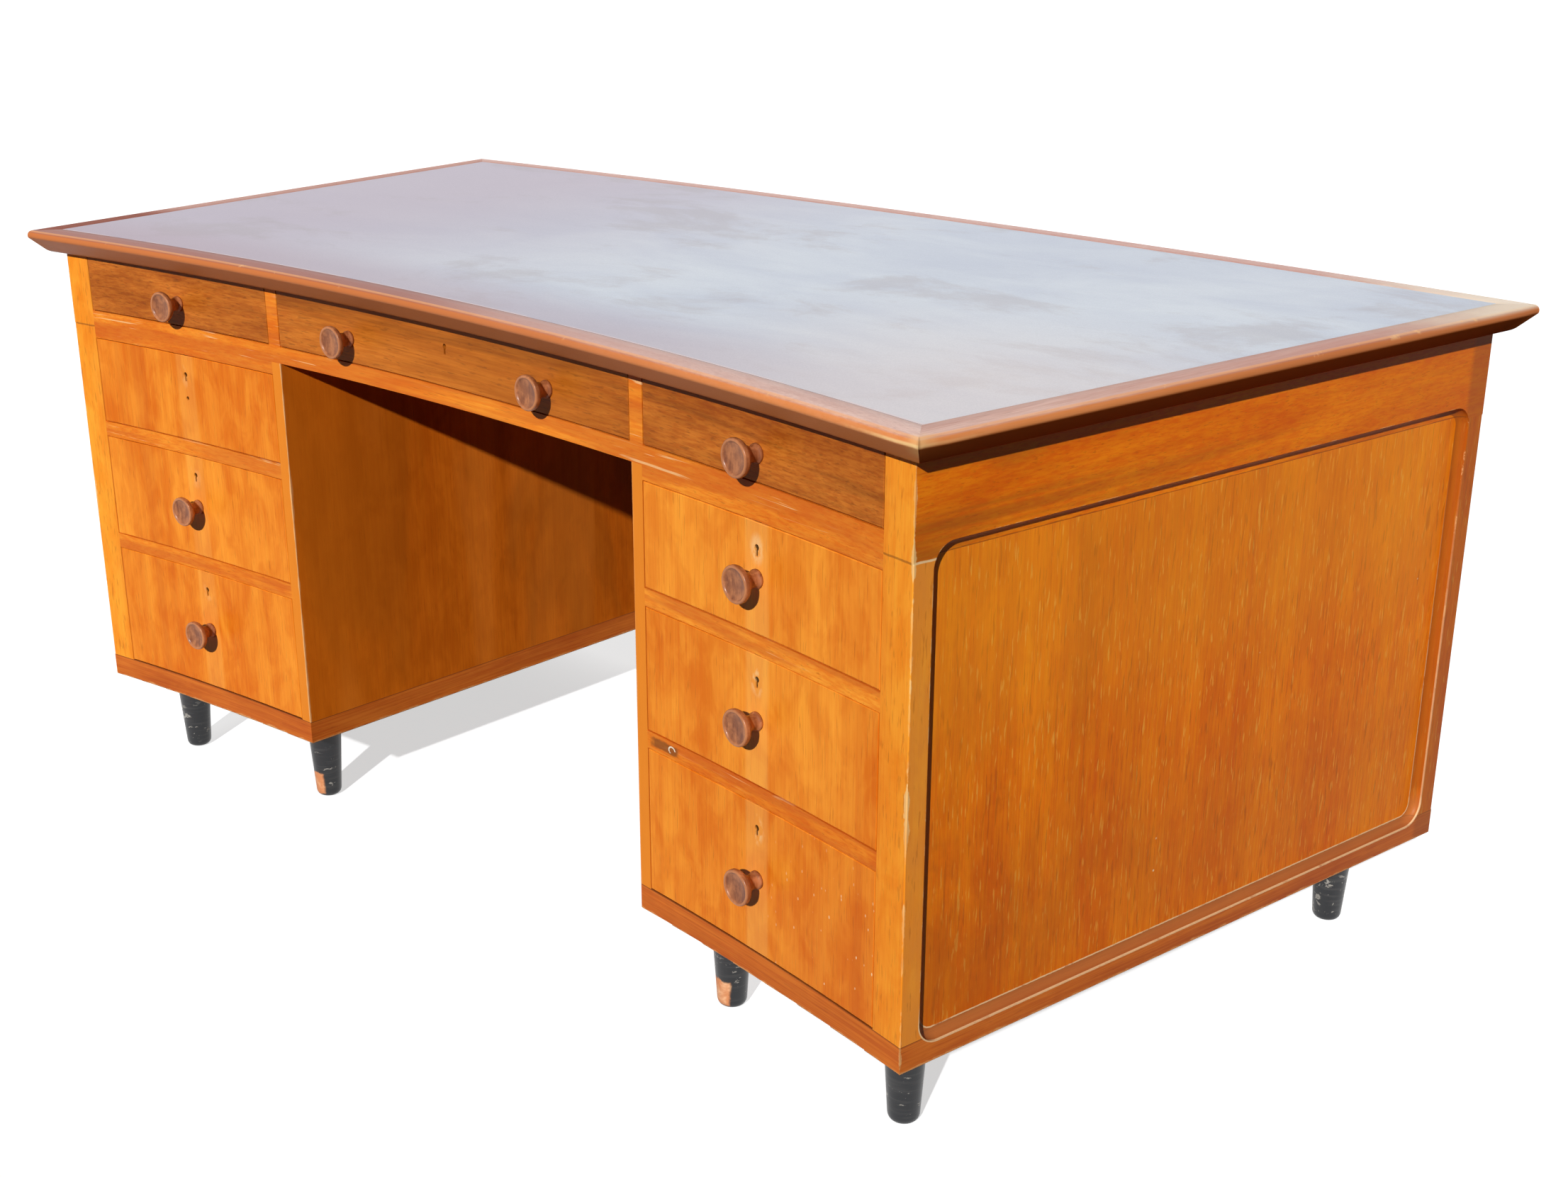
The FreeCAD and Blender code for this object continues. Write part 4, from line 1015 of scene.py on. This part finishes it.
class DESK_OT_stage(bpy.types.Operator):
    """Make the pale floor, the studio lights and the camera"""
    bl_idname = "desk.stage"
    bl_label = "Stage"

    def execute(self, context):
        scene = context.scene
        scene.view_settings.view_transform = "Standard"
        self.floor(scene)
        self.world(scene)
        self.lamp(scene, "key", (0.83, -1.70, 1.0), 3.85, 1.0)
        self.lamp(scene, "fill", (-0.90, 1.30, 0.85), 1.5, 24.0).visible_glossy = False
        data = bpy.data.cameras.new("camera")
        data.sensor_width = 36.0
        data.lens = 44.48
        data.shift_x = 0.02875
        data.clip_start, data.clip_end = 0.05, 400.0
        camera = bpy.data.objects.new("camera", data)
        camera.location = (1.7320, -1.6710, 1.1836)
        camera.rotation_euler = [math.radians(a) for a in (70.2547, 0.2020, 44.1341)]
        scene.collection.objects.link(camera)
        scene.camera = camera
        return {"FINISHED"}

    @staticmethod
    def floor(scene):
        """A broad flat floor: pale where it is seen, dark for the light that it would throw back."""
        reach = 90.0
        mesh = bpy.data.meshes.new("floor")
        mesh.from_pydata([(-reach, -reach, 0), (reach, -reach, 0), (reach, reach, 0), (-reach, reach, 0)], [],
                         [(0, 1, 2, 3)])
        floor = bpy.data.objects.new("floor", mesh)
        scene.collection.objects.link(floor)
        finish = Finish("pale floor")
        node = finish.start.node
        lit, pale = (node("ShaderNodeBsdfDiffuse", {"Color": (level,) * 3}) for level in (0.05, 0.66))
        glow = node("ShaderNodeEmission", {"Color": (1, 1, 1), "Strength": 0.62})
        both = node("ShaderNodeAddShader", {0: pale, 1: glow})
        result = node("ShaderNodeMixShader", {0: seen_directly(finish.start), 1: lit, 2: both})
        node("ShaderNodeOutputMaterial", {"Surface": result})
        mesh.materials.append(finish.material)

    @staticmethod
    def world(scene):
        """A white world to look at, which lights the desk only faintly."""
        world = bpy.data.worlds.new("studio")
        scene.world = world
        world.use_nodes = True
        world.node_tree.nodes.clear()
        start = Value(world.node_tree, None)
        strength = seen_directly(start) * 0.975 + 0.025
        shine = start.node("ShaderNodeBackground", {"Color": (1, 1, 1), "Strength": strength})
        start.node("ShaderNodeOutputWorld", {"Surface": shine})

    @staticmethod
    def lamp(scene, name, towards, strength, softness):
        """A distant lamp in a given direction; softness is its width in degrees."""
        data = bpy.data.lights.new(name, "SUN")
        data.energy = strength
        data.angle = math.radians(softness)
        lamp = bpy.data.objects.new(name, data)
        lamp.rotation_euler = Vector(towards).to_track_quat("Z", "Y").to_euler()
        scene.collection.objects.link(lamp)
        return lamp


class DESK_PT_panel(bpy.types.Panel):
    """Lists the desk's operators and settings"""
    bl_label = "Curved kneehole desk"
    bl_idname = "DESK_PT_panel"
    bl_space_type = "VIEW_3D"
    bl_region_type = "UI"
    bl_category = "Desk"

    def draw(self, context):
        for operator in OPERATORS:
            self.layout.operator(operator.bl_idname)
        for name, group in GROUPS.items():
            box = self.layout.box()
            for key in group.__annotations__:
                box.prop(getattr(context.scene, name), key)


OPERATORS = (DESK_OT_stage, DESK_OT_drawer_fronts, DESK_OT_carcass, DESK_OT_drawer_linings,
             DESK_OT_writing_surface, DESK_OT_lipping, DESK_OT_knobs, DESK_OT_legs)
CLASSES = (*GROUPS.values(), *OPERATORS, DESK_PT_panel)


def register():
    for item in CLASSES:
        bpy.utils.register_class(item)
    for name, group in GROUPS.items():
        setattr(bpy.types.Scene, name, PointerProperty(type=group))


def unregister():
    for name in GROUPS:
        delattr(bpy.types.Scene, name)
    for item in reversed(CLASSES):
        bpy.utils.unregister_class(item)


def main():
    register()
    for operator in OPERATORS:
        group, name = operator.bl_idname.split(".")
        getattr(getattr(bpy.ops, group), name)()


if __name__ == "__main__":
    main()
